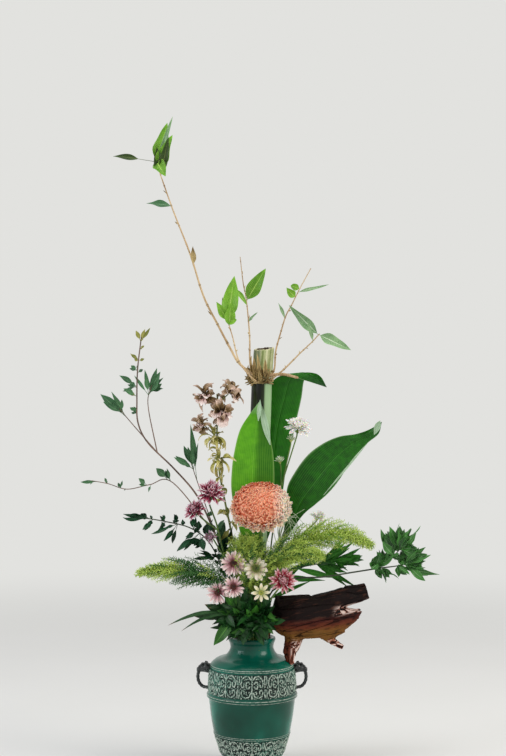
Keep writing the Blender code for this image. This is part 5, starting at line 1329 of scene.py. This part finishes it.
def petalTree():
    tree, add, entry = newTree("petalsOnHead", petalInputs)
    index = add("GeometryNodeInputIndex")
    # how far each petal strays in polar angle, in angle round the head, in lift, roll and size; each random
    # value is given its limits, ID and seed
    strays = []
    for number, reach in enumerate((0.5, 0.8, 1.2, 1.5, 0.8)):
        limits = {2: -reach, 3: reach, 7: index, 8: add("ADD", (entry["Seed"], number + 1))}
        stray = add("FunctionNodeRandomValue", limits, out=1)
        strays.append(add("MULTIPLY", (stray, entry["Jitter"])))
    share = add("DIVIDE", (add("ADD", (index, 0.5)), entry["Count"]))
    # equal areas of the dome carry equal numbers of petals
    area = add("POWER", (share, 0.62))
    polar = add("MapRange", (area, 0, 1, entry["Start Polar"], entry["End Polar"]))
    polar = add("ADD", (polar, strays[0]))
    angle = add("ADD", (add("MULTIPLY", (index, entry["Turn"])), strays[1]))
    across = add("MULTIPLY", (add("SINE", (polar,)), entry["Radius"]))
    axes = (across, angle, "COSINE"), (across, angle, "SINE"), (entry["Height"], polar, "COSINE")
    position = add("CombineXYZ", [add("MULTIPLY", (size, add(wave, (turn,)))) for size, turn, wave in axes])
    lift = add("MapRange", (share, 0, 1, entry["Lift Start"], entry["Lift End"]))
    lift = add("ADD", (lift, strays[2]))
    pitch = add("SUBTRACT", (add("SUBTRACT", (polar, pi / 2)), lift))
    rotation = add("FunctionNodeEulerToRotation", (add("CombineXYZ", (strays[3], pitch, angle)),))
    size = add("MapRange", (share, 0, 1, entry["Scale Start"], entry["Scale End"]))
    size = add("MULTIPLY", (size, add("ADD", (1, strays[4]))))
    points = add("GeometryNodePoints", {"Count": entry["Count"], "Position": position})
    petal = add("GeometryNodeObjectInfo", {"Object": entry["Petal"]}, out="Geometry")
    petals = add("GeometryNodeInstanceOnPoints",
            {"Points": points, "Instance": petal, "Rotation": rotation, "Scale": size})
    tone = add("FunctionNodeRandomValue", {2: 0, 3: 1, 7: index, 8: 9}, out=1)
    for name, value in (("row", share), ("tone", tone)):
        petals = add("GeometryNodeStoreNamedAttribute", {"Geometry": petals, "Name": name, "Value": value},
                domain="INSTANCE")
    return endTree(tree, petals, entry["Finish"])


# a node tree run once on a carrier object; the result is a plain mesh
def runTree(tree, values, carrier=None):
    item = newObject("carrier", carrier or bpy.data.meshes.new("carrier"))
    modifier = item.modifiers.new("tree", "NODES")
    modifier.node_group = tree
    for socket in tree.interface.items_tree:
        if socket.in_out == "INPUT" and socket.name in values:
            modifier[socket.identifier] = values[socket.name]
    return plainMesh(item)


# a frame whose Z looks along the bloom's axis
def bloomMatrix(centre, axis):
    out = Vector(axis).normalized()
    side = out.cross(Vector((0, 0, 1)) if abs(out.z) < 0.98 else Vector((1, 0, 0))).normalized()
    turn = Matrix((side, side.cross(out), out)).transposed().to_4x4()
    return Matrix.Translation(Vector(centre)) @ turn


petalShapes = {
    # length, width, cup, hook, point
    "mumPetal": (15, 5.2, 0.7, 1.4, 0.1),
    "mumRimPetal": (17, 7.5, 0.6, 0.9, 0.05),
    "smallMumPetal": (17, 4.4, 0.7, 0.25, 0.35),
    "daisyPetal": (15, 3.8, 0.5, -0.25, 0.2),
    "creamPetal": (15, 6.2, 0.35, -0.25, 0.1),
    "starPetal": (12.5, 6.2, 0.3, -0.15, 0.6),
    "asterPetal": (17, 6.8, 0.4, 0.2, 0.1),
    "sepal": (8, 3, 0.4, 0.3, 0.8),
}

blooms = {
    # slot, centre, axis, then the core's width, height and finish, the green cup's width and depth,
    # a disc's finish, number of florets and radius, and layers of petals in the order of petalInputs
    "peachMumBloom": ("peach_petal", (14, -63, 425), (-0.05, -0.66, 0.75),
        (39.4, 24, "peachPetal"), (20, 29), (), (
        ("mumPetal", "peachPetal", 1500, 0.02, 2.0, 39, 23.6, 0.85, 0.02, 0.38, 0.7, 0.22, 3),
        ("mumRimPetal", "peachRim", 170, 1.42, 2.0, 38.5, 22.5, 0.3, -0.15, 0.62, 0.8, 0.2, 4))),
    "redMumBloom": ("red_petal", (49, -62, 308), (0.1, -0.92, 0.38),
        (6.2, 5, "redPetal"), (7, 12.5), (), (
        ("smallMumPetal", "redPetal", 132, 0.05, 1.85, 7.2, 6.2, 0.85, 0.05, 0.38, 0.88, 0.26, 5),)),
    "purpleMumBloomUpper": ("purple_petal", (-65, -36, 443), (0.1, -0.66, 0.74),
        (7.5, 6.2, "purplePetal"), (8, 15), (), (
        ("smallMumPetal", "purplePetal", 96, 0.05, 1.85, 8, 6.8, 0.65, 0.05, 0.55, 1.02, 0.22, 6),)),
    "purpleMumBloomLower": ("purple_petal", (-90, -32, 415), (-0.42, -0.68, 0.58),
        (5.6, 4.6, "purplePetal"), (6, 11), (), (
        ("smallMumPetal", "purplePetal", 96, 0.05, 1.85, 6, 5, 0.7, 0.1, 0.42, 0.78, 0.24, 7),)),
    "fadedMumBloom": ("pink_petal", (-66, -34, 373), (-0.2, -0.95, 0.2),
        (4, 3.8, "fadedPetal"), (5, 8), (), (
        ("smallMumPetal", "fadedPetal", 46, 0.05, 1.75, 4, 4, 1.0, 0.35, 0.28, 0.48, 0.28, 8),)),
    "pinkDaisy1": ("pink_petal", (-29, -60, 335), (-0.1, -0.93, 0.3),
        (5, 2.2, "maroonDisc"), (5, 6.5), (("maroonDisc", 90, 5.8),), (
        ("daisyPetal", "pinkPetal", 34, 1.5, 1.85, 5, 3, 0.28, -0.02, 0.98, 1.08, 0.16, 11),)),
    "pinkDaisy2": ("pink_petal", (-53, -58, 289), (-0.15, -0.95, 0.15),
        (4.8, 2.2, "maroonDisc"), (4.8, 6.2), (("maroonDisc", 84, 5.6),), (
        ("daisyPetal", "pinkPetal", 32, 1.5, 1.85, 4.8, 2.8, 0.22, -0.08, 0.88, 0.99, 0.2, 12),)),
    "pinkDaisy3": ("pink_petal", (-29, -67, 299), (0.1, -0.96, 0.2),
        (4.6, 2.2, "maroonDisc"), (4.6, 5.8), (("maroonDisc", 80, 5.3),), (
        ("daisyPetal", "pinkPetal", 30, 1.5, 1.85, 4.6, 2.8, 0.3, -0.04, 0.8, 0.9, 0.2, 13),)),
    "creamDaisy1": ("cream_petal", (6, -64, 327), (0.05, -0.93, 0.35),
        (5.8, 2, "greenDisc"), (5.2, 6.5), (("greenDisc", 84, 6.2),), (
        ("creamPetal", "blushPetal", 20, 1.5, 1.85, 5.8, 2.4, 0.25, -0.05, 0.9, 0.99, 0.14, 14),)),
    "creamDaisy2": ("cream_petal", (14, -68, 290), (0.05, -0.98, 0.1),
        (3.4, 1.8, "yellowDisc"), (3.8, 5), (("yellowDisc", 40, 3.6),), (
        ("starPetal", "creamPetal", 8, 1.66, 1.68, 3.4, 2, 0.16, 0.1, 0.94, 0.94, 0.1, 15),)),
    "whiteAsterBloom": ("white_petal", (74, -4, 546), (0.15, -0.42, 0.9),
        (6.5, 3.4, "yellowDisc"), (8.5, 10), (("yellowDisc", 60, 5),), (
        ("asterPetal", "whitePetal", 64, 0.6, 1.85, 6.2, 4.2, 0.85, 0.0, 0.55, 1.06, 0.14, 16),)),
    "smallWhiteBloom": ("white_petal", (108, 30, 398), (0.35, -0.6, 0.6),
        (2.4, 1.4, "yellowDisc"), (2.2, 3.2), (("yellowDisc", 24, 2.6),), (
        ("creamPetal", "whitePetal", 30, 0.5, 1.8, 3.4, 2.6, 0.95, 0.25, 0.5, 0.8, 0.12, 17),)),
}


def buildBlooms():
    tree = petalTree()
    petals = {name: petalObject(name, *size) for name, size in petalShapes.items()}
    petals["floret"] = rodObject("floret", 1.6, 0.42, (0.0, 0.45, 0.85, 1.0), (0.8, 0.9, 1.0, 0.35),
            roundAngles(5))
    for name, (slot, centre, axis, (wide, high, coreFinish), cup, disc, layers) in blooms.items():
        core, calyx, shape = newShape(), newShape(), newShape()
        coreWide, coreHigh, cupWide, cupDeep = metres((wide, high, *cup))
        addBall(core, (0, 0, 0), (coreWide, coreWide, coreHigh), 28, 14, coreFinish)
        # the green cup narrows from the petals down to the stalk
        rings = []
        for share in np.linspace(0, 1, 7):
            radius = cupWide * (0.3 + 0.7 * cos(share * pi / 2) ** 0.7)
            rings.append(circle(20) * (radius, radius, -cupDeep * (0.12 + 0.88 * share)))
        addLoft(calyx, rings, 0.4)
        matrix = bloomMatrix(metres(centre), axis)
        for part, partFinish in ((core, coreFinish), (calyx, "greenStem")):
            addMesh(shape, meshFrom("part", part), matrix, partFinish)
        layers += (("sepal", "greenStem", 14, 2.15, 2.35, cup[0], cup[1] * 0.5, 0.2, 0.0,
                cup[0] * 0.11, cup[0] * 0.13, 0.1, 21),)
        layers += tuple(("floret", discFinish, count, 0.02, 1.45, radius, high, 1.5, 1.3, 1.0, 1.15, 0.1, 31)
                for discFinish, count, radius in disc)
        for petal, petalFinish, *sizes in layers:
            # a few petals stand in one ring, many by the golden turn
            between = 2 * pi / sizes[0] if sizes[0] < 10 else goldenTurn
            values = dict(zip(petalInputs, [petals[petal], materials[petalFinish], *sizes, between]))
            for size in ("Radius", "Height"):
                values[size] /= 1000
            addMesh(shape, runTree(tree, values), matrix, petalFinish)
        placePiece(name, shape, 60)
    for item in petals.values():
        bpy.data.objects.remove(item)


flowerStems = {
    # foot in the mouth, radii, main route, then its blooms: where their stalk leaves, how far under the
    # bloom's centre it ends, radius
    "peachMumStem": ((8, -16.5), (3, 2.8),
        ((8.5, -18.5, 260), (11, -21.5, 340)),
        (("peachMumBloom", 1.0, 35.4, 2.8),)),
    "redMumStem": ((9.5, -24.5), (1.8, 1.6),
        ((11, -30, 232), (22, -40, 266)),
        (("redMumBloom", 1.0, 14.5, 1.5),)),
    "purpleMumStem": ((-14.5, -12), (1.9, 1.5),
        ((-18, -16, 250), (-32, -21, 310), (-46, -22, 352), (-56, -21.5, 392)),
        (("purpleMumBloomUpper", 1.0, 18, 1.3), ("purpleMumBloomLower", 0.97, 13.4, 1.3),
         ("fadedMumBloom", 0.84, 9.8, 1.2))),
    "daisySprayStem": ((-10.5, -19.5), (1.8, 1.6),
        ((-13, -26, 235), (-20, -34, 262)),
        (("pinkDaisy1", 0.98, 7.3, 1.2), ("pinkDaisy2", 0.98, 6.9, 1.2), ("pinkDaisy3", 0.98, 6.4, 1.2))),
    "creamSprayStem": ((2, -22), (1.7, 1.5),
        ((3, -29, 235), (6, -38, 260)),
        (("creamDaisy1", 0.98, 7.2, 1.2), ("creamDaisy2", 0.98, 5.5, 1.2))),
    "asterStem": ((24.5, 6), (1.4, 1.2),
        ((26.5, 5, 280), (30, 2, 350), (40, 0, 420), (52, -2, 470)),
        (("whiteAsterBloom", 0.98, 11.5, 1.1),)),
    "smallWhiteStem": ((16, 22.5), (1.2, 1),
        ((20, 27, 280), (45, 35, 330), (85, 40, 372)),
        (("smallWhiteBloom", 1.0, 3.7, 1),)),
}

budHeads = {
    # foot, axis, radius, length, how far the petals spread, petals
    "asterBud1": ((62, -3, 521), (0.1, -0.1, 1.0), 6.3, 14, 8.6, 26),
    "asterBud2": ((45, -6, 487), (-0.15, -0.2, 1.0), 4.9, 12, 9.6, 24),
}


def buildFlowerStems():
    for number, (name, (neck, radii, points, carried)) in enumerate(flowerStems.items()):
        shape = newShape()
        chance = seeded(300 + number)
        main = stemRoute(neck, points, 10)
        addTube(shape, main, metres(radii), 10)
        for bloomName, place, depth, radius in carried:
            centre, out = metres(blooms[bloomName][1]), unit(blooms[bloomName][2])
            depth, radius = metres((depth, radius))
            seat, lead = centre - out * depth, centre - out * (depth + 0.008)
            start = pointOn(main, place)
            before = pointOn(main, max(0, place - 0.05))
            addTube(shape, smoothRoute([before, start, start * 0.45 + lead * 0.55, lead, seat]), radius)
            addTube(shape, [lead * 0.35 + seat * 0.65, seat], (radius, radius * 1.35), roundTip=False)
        for budFoot, axis, *_ in budHeads.values() if name == "asterStem" else ():
            foot, under = (metres(budFoot) - unit(axis) * depth for depth in (0.0004, 0.006))
            start = pointOn(main, 0.95)
            addTube(shape, smoothRoute([start, start * 0.4 + under * 0.6, under, foot]), 0.001)
        # a few small bracts along the stem above the mouth
        for place in np.linspace(0.72, 0.95, 3):
            foot = pointOn(main, place)
            aim = unit(chance.normal(size=3) + (0, -0.6, 0.9))
            addLeaf(shape, foot, foot + aim * chance.uniform(0.007, 0.012), 0.0028, chance.normal(size=3),
                    cup=0.4, rows=7, tone=0.4, thick=0.0003)
        placePiece(name, shape, 60)


def buildBuds():
    for number, (name, (foot, axis, radius, length, spread, petals)) in enumerate(budHeads.items()):
        shape = newShape()
        chance = seeded(350 + number)
        foot, axis = metres(foot), unit(axis)
        radius, length, spread = metres((radius, length, spread))
        side = unit(np.cross(axis, (0.3, 1, 0.2)))
        other = np.cross(axis, side)
        heart = foot + axis * length * 0.34
        addBall(shape, heart, (radius * 0.42, radius * 0.42, length * 0.24), 18, 10, "budPetal", axis)
        # half open: the inner petals still stand up, the outer ones have spread
        around = [side * cos(i * goldenTurn) + other * sin(i * goldenTurn) for i in range(petals)]
        for i, out in enumerate(around):
            lift = 1.35 - 1.25 * (i / petals) ** 0.8 + chance.uniform(-0.15, 0.15)
            aim = out * cos(lift) + axis * sin(lift)
            addLeaf(shape, heart + aim * radius * 0.25, heart + aim * spread, spread * 0.34, axis,
                    sag=-0.0006, stalk=0.0, cup=0.5, rows=8, tone=chance.uniform(0, 1), finish="budPetal",
                    thick=0.0002)
        for out in around[:12]:
            tip = foot + axis * length * chance.uniform(0.34, 0.5) + out * radius * 0.78
            addLeaf(shape, foot + axis * 0.0003 + out * radius * 0.2, tip, radius * 0.5, out, sag=-0.0008,
                    stalk=0.0, cup=-0.4, rows=6, finish="yellowBud", thick=0.00025)
        placePiece(name, shape, 60)


orchid = {
    "foot": (-17.5, -4),
    "route": ((-20, -3, 280), (-30, -1, 360), (-44, 0, 430), (-53, 3, 480), (-56, 4, 530), (-55, 5, 580),
              (-56, 6, 598)),
    "bracts": 46,
    "bractsFrom": 0.54,
    # number of tepals, their length and width against the bloom's reach and width, how far they roll
    "orchidOld": (18, 1.35, 1.05, (1.0, 4.2)),
    "orchidYoung": (12, 1.5, 0.95, (1.2, 3.0)),
    # centre, axis, reach, width, turn, where its stalk leaves the spike, finish, size of the lip
    "blooms": (
        ((-33, -8, 602), (0.55, -0.7, 0.3), 21, 9.5, 20, 0.97, "orchidOld", 19),
        ((-74, -8, 596), (-0.6, -0.7, 0.15), 20, 9, 55, 0.985, "orchidOld", 18),
        ((-49, -16, 571), (0.2, -0.9, -0.3), 19, 10.8, 10, 0.93, "orchidOld", 26),
        ((-80, -8, 549), (-0.75, -0.55, 0.05), 15, 8, 30, 0.88, "orchidOld", 13),
        ((-60, -13, 529), (-0.1, -0.95, 0.1), 20, 7, 0, 0.85, "orchidYoung", 11),
        ((-52, -14, 493), (0.15, -0.95, 0.0), 21, 7, 35, 0.78, "orchidYoung", 12),
    ),
}


def buildOrchid():
    route = stemRoute(orchid["foot"], orchid["route"], 10)
    spike = newShape()
    addTube(spike, route, (0.0022, 0.0013), 12, "orchidStem")
    for number, (centre, axis, reach, width, turn, place, tepalFinish, lip) in enumerate(orchid["blooms"]):
        chance = seeded(400 + number)
        centre, out = metres(centre), unit(axis)
        reach, width, lip = metres((reach, width, lip))
        side = unit(np.cross(out, (0, 0, 1)))
        up = np.cross(side, out)
        young = tepalFinish == "orchidYoung"
        count, longer, wider, roll = orchid[tepalFinish]
        shape = newShape()
        addBall(shape, centre, (0.0038, 0.0038, 0.0042), 18, 10, tepalFinish, out)
        for i in range(count):
            # five main tepals, then smaller crumpled ones between them
            main = i < 5
            angle = radians(turn + 72 * i + (0 if main else chance.uniform(15, 57)))
            away = side * cos(angle) + up * sin(angle) + out * chance.uniform(0.0, 0.9)
            if young:
                # they rise, then fall over and curl under
                away = away + (0, 0, chance.choice([-0.8, 0.6, 1.0]))
            facing = (0.0, -0.2, 1.0) if young else out if i % 4 else -out
            addCurled(shape, centre + unit(away) * 0.0016, away, facing,
                    reach * longer * (1.0 if main else chance.uniform(0.6, 0.95)),
                    width * wider * chance.uniform(0.75, 1.05), chance.uniform(*roll),
                    cup=chance.uniform(0.2, 0.9), twist=chance.uniform(-1.2, 1.2),
                    ruffle=chance.uniform(0.2, 0.6), tone=chance.uniform(0.1, 0.9), finish=tepalFinish)
        # the hanging lip with its two side lobes, and the column above
        for lean, size in ((0, 1.0), (-1, 0.72), (1, 0.72)):
            drop = out * 0.7 + side * lean * 0.9 - (0, 0, 0.75 if lean == 0 else 0.15)
            addCurled(shape, centre + unit(drop) * 0.002, drop, (0.1, 0.1, 1), lip * size, lip * size * 0.95,
                    0.9, rows=14, columns=13, cup=0.3, twist=lean * 0.5, ruffle=0.5, tone=0.3 + 0.3 * size,
                    finish=tepalFinish if young else "orchidLip", widest=0.62)
        addTube(shape, smoothRoute([centre, centre + out * 0.0042 + up * 0.0012, centre + out * 0.007], 4),
                (0.0016, 0.0012, 0.0015), 10, "orchidLip")
        placePiece(f"orchidBloom{number + 1}", shape, 70)
        seat = centre - out * 0.0045
        start = pointOn(route, place)
        addTube(spike, smoothRoute([start, (start * 2 + seat) / 3 + (0, 0, 0.001), seat], 6),
                (0.0011, 0.0009), 8, "orchidStem")
    # limp bracts and spent buds along the spike below the open flowers
    chance = seeded(420)
    for place in np.linspace(orchid["bractsFrom"], 1.0, orchid["bracts"]):
        foot = pointOn(route, place)
        away = unit(chance.normal(size=3) * (1, 0.7, 0) + (0, -0.5, 0))
        addCurled(spike, foot, away + (0, 0, chance.choice([-1.2, -0.4, 0.9])), (0, 0, 1) + away * 0.3,
                chance.uniform(0.012, 0.022), chance.uniform(0.005, 0.0095), chance.uniform(-0.6, 2.6),
                twist=chance.uniform(-1, 1), tone=chance.uniform(0.1, 0.9),
                finish="orchidOld" if place > 0.9 else "orchidYoung")
    placePiece("orchidStem", spike, 60)


print("flowers")
buildBlooms()
buildFlowerStems()
buildBuds()
buildOrchid()
# every edge chain of the carrier becomes a thin stalk with needles set round it, longest in its lower half
needleInputs = {
    "Chains": "Geometry", "Needle": "Object", "Finish": "Material", "Spacing": "Float",
    "Stalk Radius": "Float", "Tip Scale": "Float", "Open": "Float", "Turn": "Float", "Curl": "Float",
}


def sprayTree():
    tree, add, entry = newTree("needleSpray", needleInputs)
    index = add("GeometryNodeInputIndex")
    swing, opening, size, tone = [
        add("FunctionNodeRandomValue", {2: low, 3: high, 7: index, 8: seed}, out=1)
        for low, high, seed in ((-1, 1, 3), (-0.25, 0.25, 4), (0.75, 1.2, 5), (0, 1, 6))]
    curves = add("GeometryNodeMeshToCurve", (entry["Chains"],))
    points = add("GeometryNodeResampleCurve", {"Curve": curves, "Length": entry["Spacing"]}, mode="LENGTH")
    # needles turn on round the stalk, open away from it and curl a little
    turn = add("MULTIPLY", (index, entry["Turn"]))
    curl = add("MULTIPLY", (swing, entry["Curl"]))
    opened = add("ADD", (entry["Open"], opening))
    ahead = add("GeometryNodeInputTangent")
    rotation = add("FunctionNodeAlignRotationToVector", {"Vector": ahead}, axis="X")
    for angles in ((turn,), (0, curl, opened)):
        by = add("FunctionNodeEulerToRotation", (add("CombineXYZ", angles),))
        rotation = add("FunctionNodeRotateRotation", (rotation, by), rotation_space="LOCAL")
    taper = add("MapRange", (add("GeometryNodeSplineParameter"), 0.35, 1, 1, entry["Tip Scale"]))
    scale = add("MULTIPLY", (taper, size))
    needle = add("GeometryNodeObjectInfo", {"Object": entry["Needle"]}, out="Geometry")
    needles = add("GeometryNodeInstanceOnPoints",
            {"Points": points, "Instance": needle, "Rotation": rotation, "Scale": scale})
    toned = add("GeometryNodeStoreNamedAttribute", {"Geometry": needles, "Name": "tone", "Value": tone},
            domain="INSTANCE")
    profile = add("GeometryNodeCurvePrimitiveCircle", {"Resolution": 4, "Radius": entry["Stalk Radius"]})
    stalks = add("GeometryNodeCurveToMesh", {"Curve": curves, "Profile Curve": profile, "Fill Caps": True})
    return endTree(tree, add("GeometryNodeJoinGeometry", {0: [stalks, toned]}), entry["Finish"])


needles = {
    "length": 7,
    "width": 1.3,
    "spacing": 1.6,
    "stalkRadius": 0.32,
    "tipScale": 0.55,
    "open": 0.8,     # radians from the stalk
    "curl": 0.6,
}

plumes = {
    # foot in the mouth, main route, height from which fronds leave it, how many, the longest, how far they
    # open, lean, finish of the outer ones and of the darker inner ones, which are painted shade among them,
    # share of inner ones, and up to where they stay dark
    "plumeLeft": ((-19, -17), (
        (-25, -25, 250), (-38, -37, 288), (-62, -43, 310), (-100, -46, 320), (-140, -47, 323),
        (-172, -47, 320)),
        285, 170, 46, 1.05, (-0.3, 0.0, 0.05), "plumeYellow", "plumeDark", 0.0, 0.5),
    "plumeRightUpper": ((17.5, -15), (
        (20.5, -16, 262), (38, -17, 322), (70, -18, 356), (108, -19, 373), (148, -19, 376), (184, -19, 362)),
        318, 200, 48, 1.1, (0.3, 0.0, 0.05), "plumeYellow", "plumeGreen", 0.22, None),
    "plumeRightMiddle": ((14, -21.5), (
        (16, -26, 250), (21, -36, 306), (42, -43, 340), (74, -45, 350), (104, -45, 347)),
        290, 230, 46, 1.15, (0.25, 0.0, -0.1), "plumeYellow", "plumeDark", 0.35, None),
    "plumeCenter": ((-4.5, -24.5), (
        (-5, -30, 250), (-5.5, -36, 300), (-8, -40, 340), (-10, -42, 366)),
        285, 300, 52, 1.45, (0.12, -0.05, 0.1), "plumeYellow", "plumeDark", 0.4, None),
}


# polylines that leave the stem, bend towards its tip and droop a little
def frondChains(route, chance, wanted, above, count, longest, opening, lean, dark, darkUntil):
    points, edges = [], []
    start = routeShares(route)[np.argmax(route[:, 2] > above / 1000)]
    for i in range(count):
        share = (i + 0.5) / count
        place = start + (1 - start) * share
        # painted shade: a share of the fronds, more of them low on the stem, take the darker finish
        darkHere = dark * (1.35 - share) if darkUntil is None else 0.92 if share < darkUntil else 0.1
        if (chance.random() < darkHere) != wanted:
            continue
        at = pointOn(route, place)
        ahead = unit(pointOn(route, min(1, place + 0.02)) - pointOn(route, place - 0.02))
        side = anySide(ahead)
        angle = i * goldenTurn + chance.uniform(-0.4, 0.4)
        # flatter front to back than up and down
        away = (side * cos(angle) + np.cross(ahead, side) * sin(angle)) * (1, 0.72, 1)
        opened = opening - 0.62 * share + chance.uniform(-0.15, 0.15)
        length = longest / 1000 * sin(pi * (0.28 + 0.66 * share)) ** 0.8 * chance.uniform(0.7, 1.08)
        steps = 7
        first = len(points)
        points.append(at)
        for k in range(steps):
            swing = opened * (1 - 0.1 * k)
            step = ahead * cos(swing) + away * sin(swing) + np.array(lean) * 0.08 * k
            step = step + (0, 0, -0.012 * k * k) + chance.normal(scale=0.05, size=3)
            at = at + unit(step) * length / steps
            points.append(at)
            edges.append((first + k, first + k + 1))
    mesh = bpy.data.meshes.new("chains")
    mesh.from_pydata(points, edges, [])
    return mesh


def buildPlumes():
    tree = sprayTree()
    needle = rodObject("needle", needles["length"], needles["width"], (0.0, 0.4, 0.75, 1.0),
            (0.5, 0.55, 0.4, 0.1), (0.0, 2.1, 4.2), 0.1, 0.5)
    spacing, stalkRadius = (needles[key] / 1000 for key in ("spacing", "stalkRadius"))
    for number, (name, (foot, points, *habit, outer, inner, dark, darkUntil)) in enumerate(plumes.items()):
        shape = newShape()
        route = stemRoute(foot, points, 10)
        addTube(shape, route, (0.0015, 0.0009))
        for wanted, finishName in ((False, outer), (True, inner)):
            chains = frondChains(route, seeded(500 + number), wanted, *habit, dark, darkUntil)
            values = {"Needle": needle, "Finish": materials[finishName], "Spacing": spacing,
                    "Stalk Radius": stalkRadius, "Tip Scale": needles["tipScale"],
                    "Open": needles["open"], "Turn": goldenTurn, "Curl": needles["curl"]}
            addMesh(shape, runTree(tree, values, chains), Matrix.Identity(4), finishName)
        placePiece(name, shape, 80)
    bpy.data.objects.remove(needle)


grass = {
    "foot": (25.6, -10.2),
    "route": ((25.8, -10, 270), (33, -9, 330), (44, -6, 362)),
    # crown and tip of each
    "loops": (((58, -8, 401), (77, -10, 378)), ((50, 0, 398), (67, 4, 404)), ((64, 2, 388), (75, 5, 374))),
    "extra": 15,
}


def buildGrass():
    shape = newShape()
    chance = seeded(600)
    root = stemRoute(grass["foot"], grass["route"], 8)
    addTube(shape, root, (0.001, 0.0008), 8, "paleGrass")
    loops = list(metres(grass["loops"]))
    for _ in range(grass["extra"]):
        crown, tip = loops[chance.integers(3)]
        loops.append((crown + chance.normal(scale=0.0055, size=3), tip + chance.normal(scale=0.0085, size=3)))
    for crown, tip in loops:
        start = root[-1 - chance.integers(3)]
        arch = smoothRoute([start, start * 0.45 + crown * 0.55 - (0.003, 0, 0), crown, tip], 9)
        addTube(shape, arch, (0.0006, 0.00036), 6, "paleGrass", chance.uniform(0, 1))
    placePiece("grassLoops", shape, 80)


print("plumes and grass")
buildPlumes()
buildGrass()


stage = {
    "floorColours": ("#e7e7e4", "#ececea"),
    "floorRadius": 30.0,
    "fade": (0.8, 2.6),          # from here to here the floor turns into the plain background
    "background": "#e2e2df",
    "worldStrength": 0.46,
    # place, aim, size, power, colour
    "lights": {
        "key": ((2.25, -0.9, 1.7), (0.0, 0.0, 0.45), 1.3, 36.0, "#fffbf5"),
        "fill": ((-2.25, -1.0, 1.2), (0.0, 0.0, 0.35), 1.3, 26.0, "#f6f9ff"),
        "top": ((0.0, -0.2, 2.3), (0.0, 0.1, 0.4), 1.4, 13.0, "#ffffff"),
    },
    "cameraPlace": (0.0016, -2.4, 0.624),
    "cameraLens": 71.43,
}


# matt studio paper that runs out into the plain background, so no edge shows from any side
def buildFloor():
    add, place = newMaterial("studioPaper")
    fibre = add("TexNoise", {"Vector": place, "Scale": 3, "Detail": 2})
    dressMaterial("studioPaper", add("MixRGB", (fibre, *stage["floorColours"])), 0.9)
    tree = materials["studioPaper"].node_tree
    away = add("VectorMath", (place,), out="Value", operation="LENGTH")
    far = add("MapRange", (away, *stage["fade"]), interpolation_type="SMOOTHSTEP")
    seen = add("MULTIPLY", (far, add("LightPath", out="Is Camera Ray")))
    paper = tree.nodes["Principled BSDF"].outputs[0]
    glow = add("Emission", (stage["background"],))
    setInputs(tree, tree.nodes["Material Output"], (add("MixShader", (seen, paper, glow)),))
    work = bmesh.new()
    bmesh.ops.create_circle(work, cap_ends=True, segments=64, radius=stage["floorRadius"])
    mesh = bpy.data.meshes.new("floor")
    work.to_mesh(mesh)
    work.free()
    mesh.materials.append(materials["studioPaper"])
    newObject("floor", mesh)


def buildLights():
    for name, (place, aim, size, power, colour) in stage["lights"].items():
        lamp = bpy.data.lights.new(name, "AREA")
        lamp.shape = "SQUARE"
        lamp.size = size
        lamp.energy = power
        lamp.color = linear(colour)[:3]
        item = newObject(name, lamp)
        item.location = place
        item.rotation_euler = (Vector(aim) - Vector(place)).to_track_quat("-Z", "Y").to_euler()
    world = bpy.data.worlds.new("studio")
    world.use_nodes = True
    tree = world.node_tree
    add = partial(addNode, tree)
    # the pale background is what the camera and reflections see; the object is lit by a plain white dome
    seen = add("LightPath", out="Is Camera Ray")
    for kind in ("Is Transmission Ray", "Is Glossy Ray"):
        seen = add("MAXIMUM", (seen, add("LightPath", out=kind)))
    setInputs(tree, tree.nodes["Background"], (add("MixRGB", (seen, "#ffffff", stage["background"])),
            add("MapRange", (seen, 0.0, 1.0, stage["worldStrength"], 1.0))))
    bpy.context.scene.world = world


def buildCamera():
    lens = bpy.data.cameras.new("camera")
    lens.lens = stage["cameraLens"]
    camera = newObject("camera", lens)
    camera.location = stage["cameraPlace"]
    camera.rotation_euler = (pi / 2, 0, 0)
    bpy.context.scene.camera = camera
    bpy.context.scene.view_settings.view_transform = "Standard"


print("stage, lights and camera")
buildFloor()
buildLights()
buildCamera()
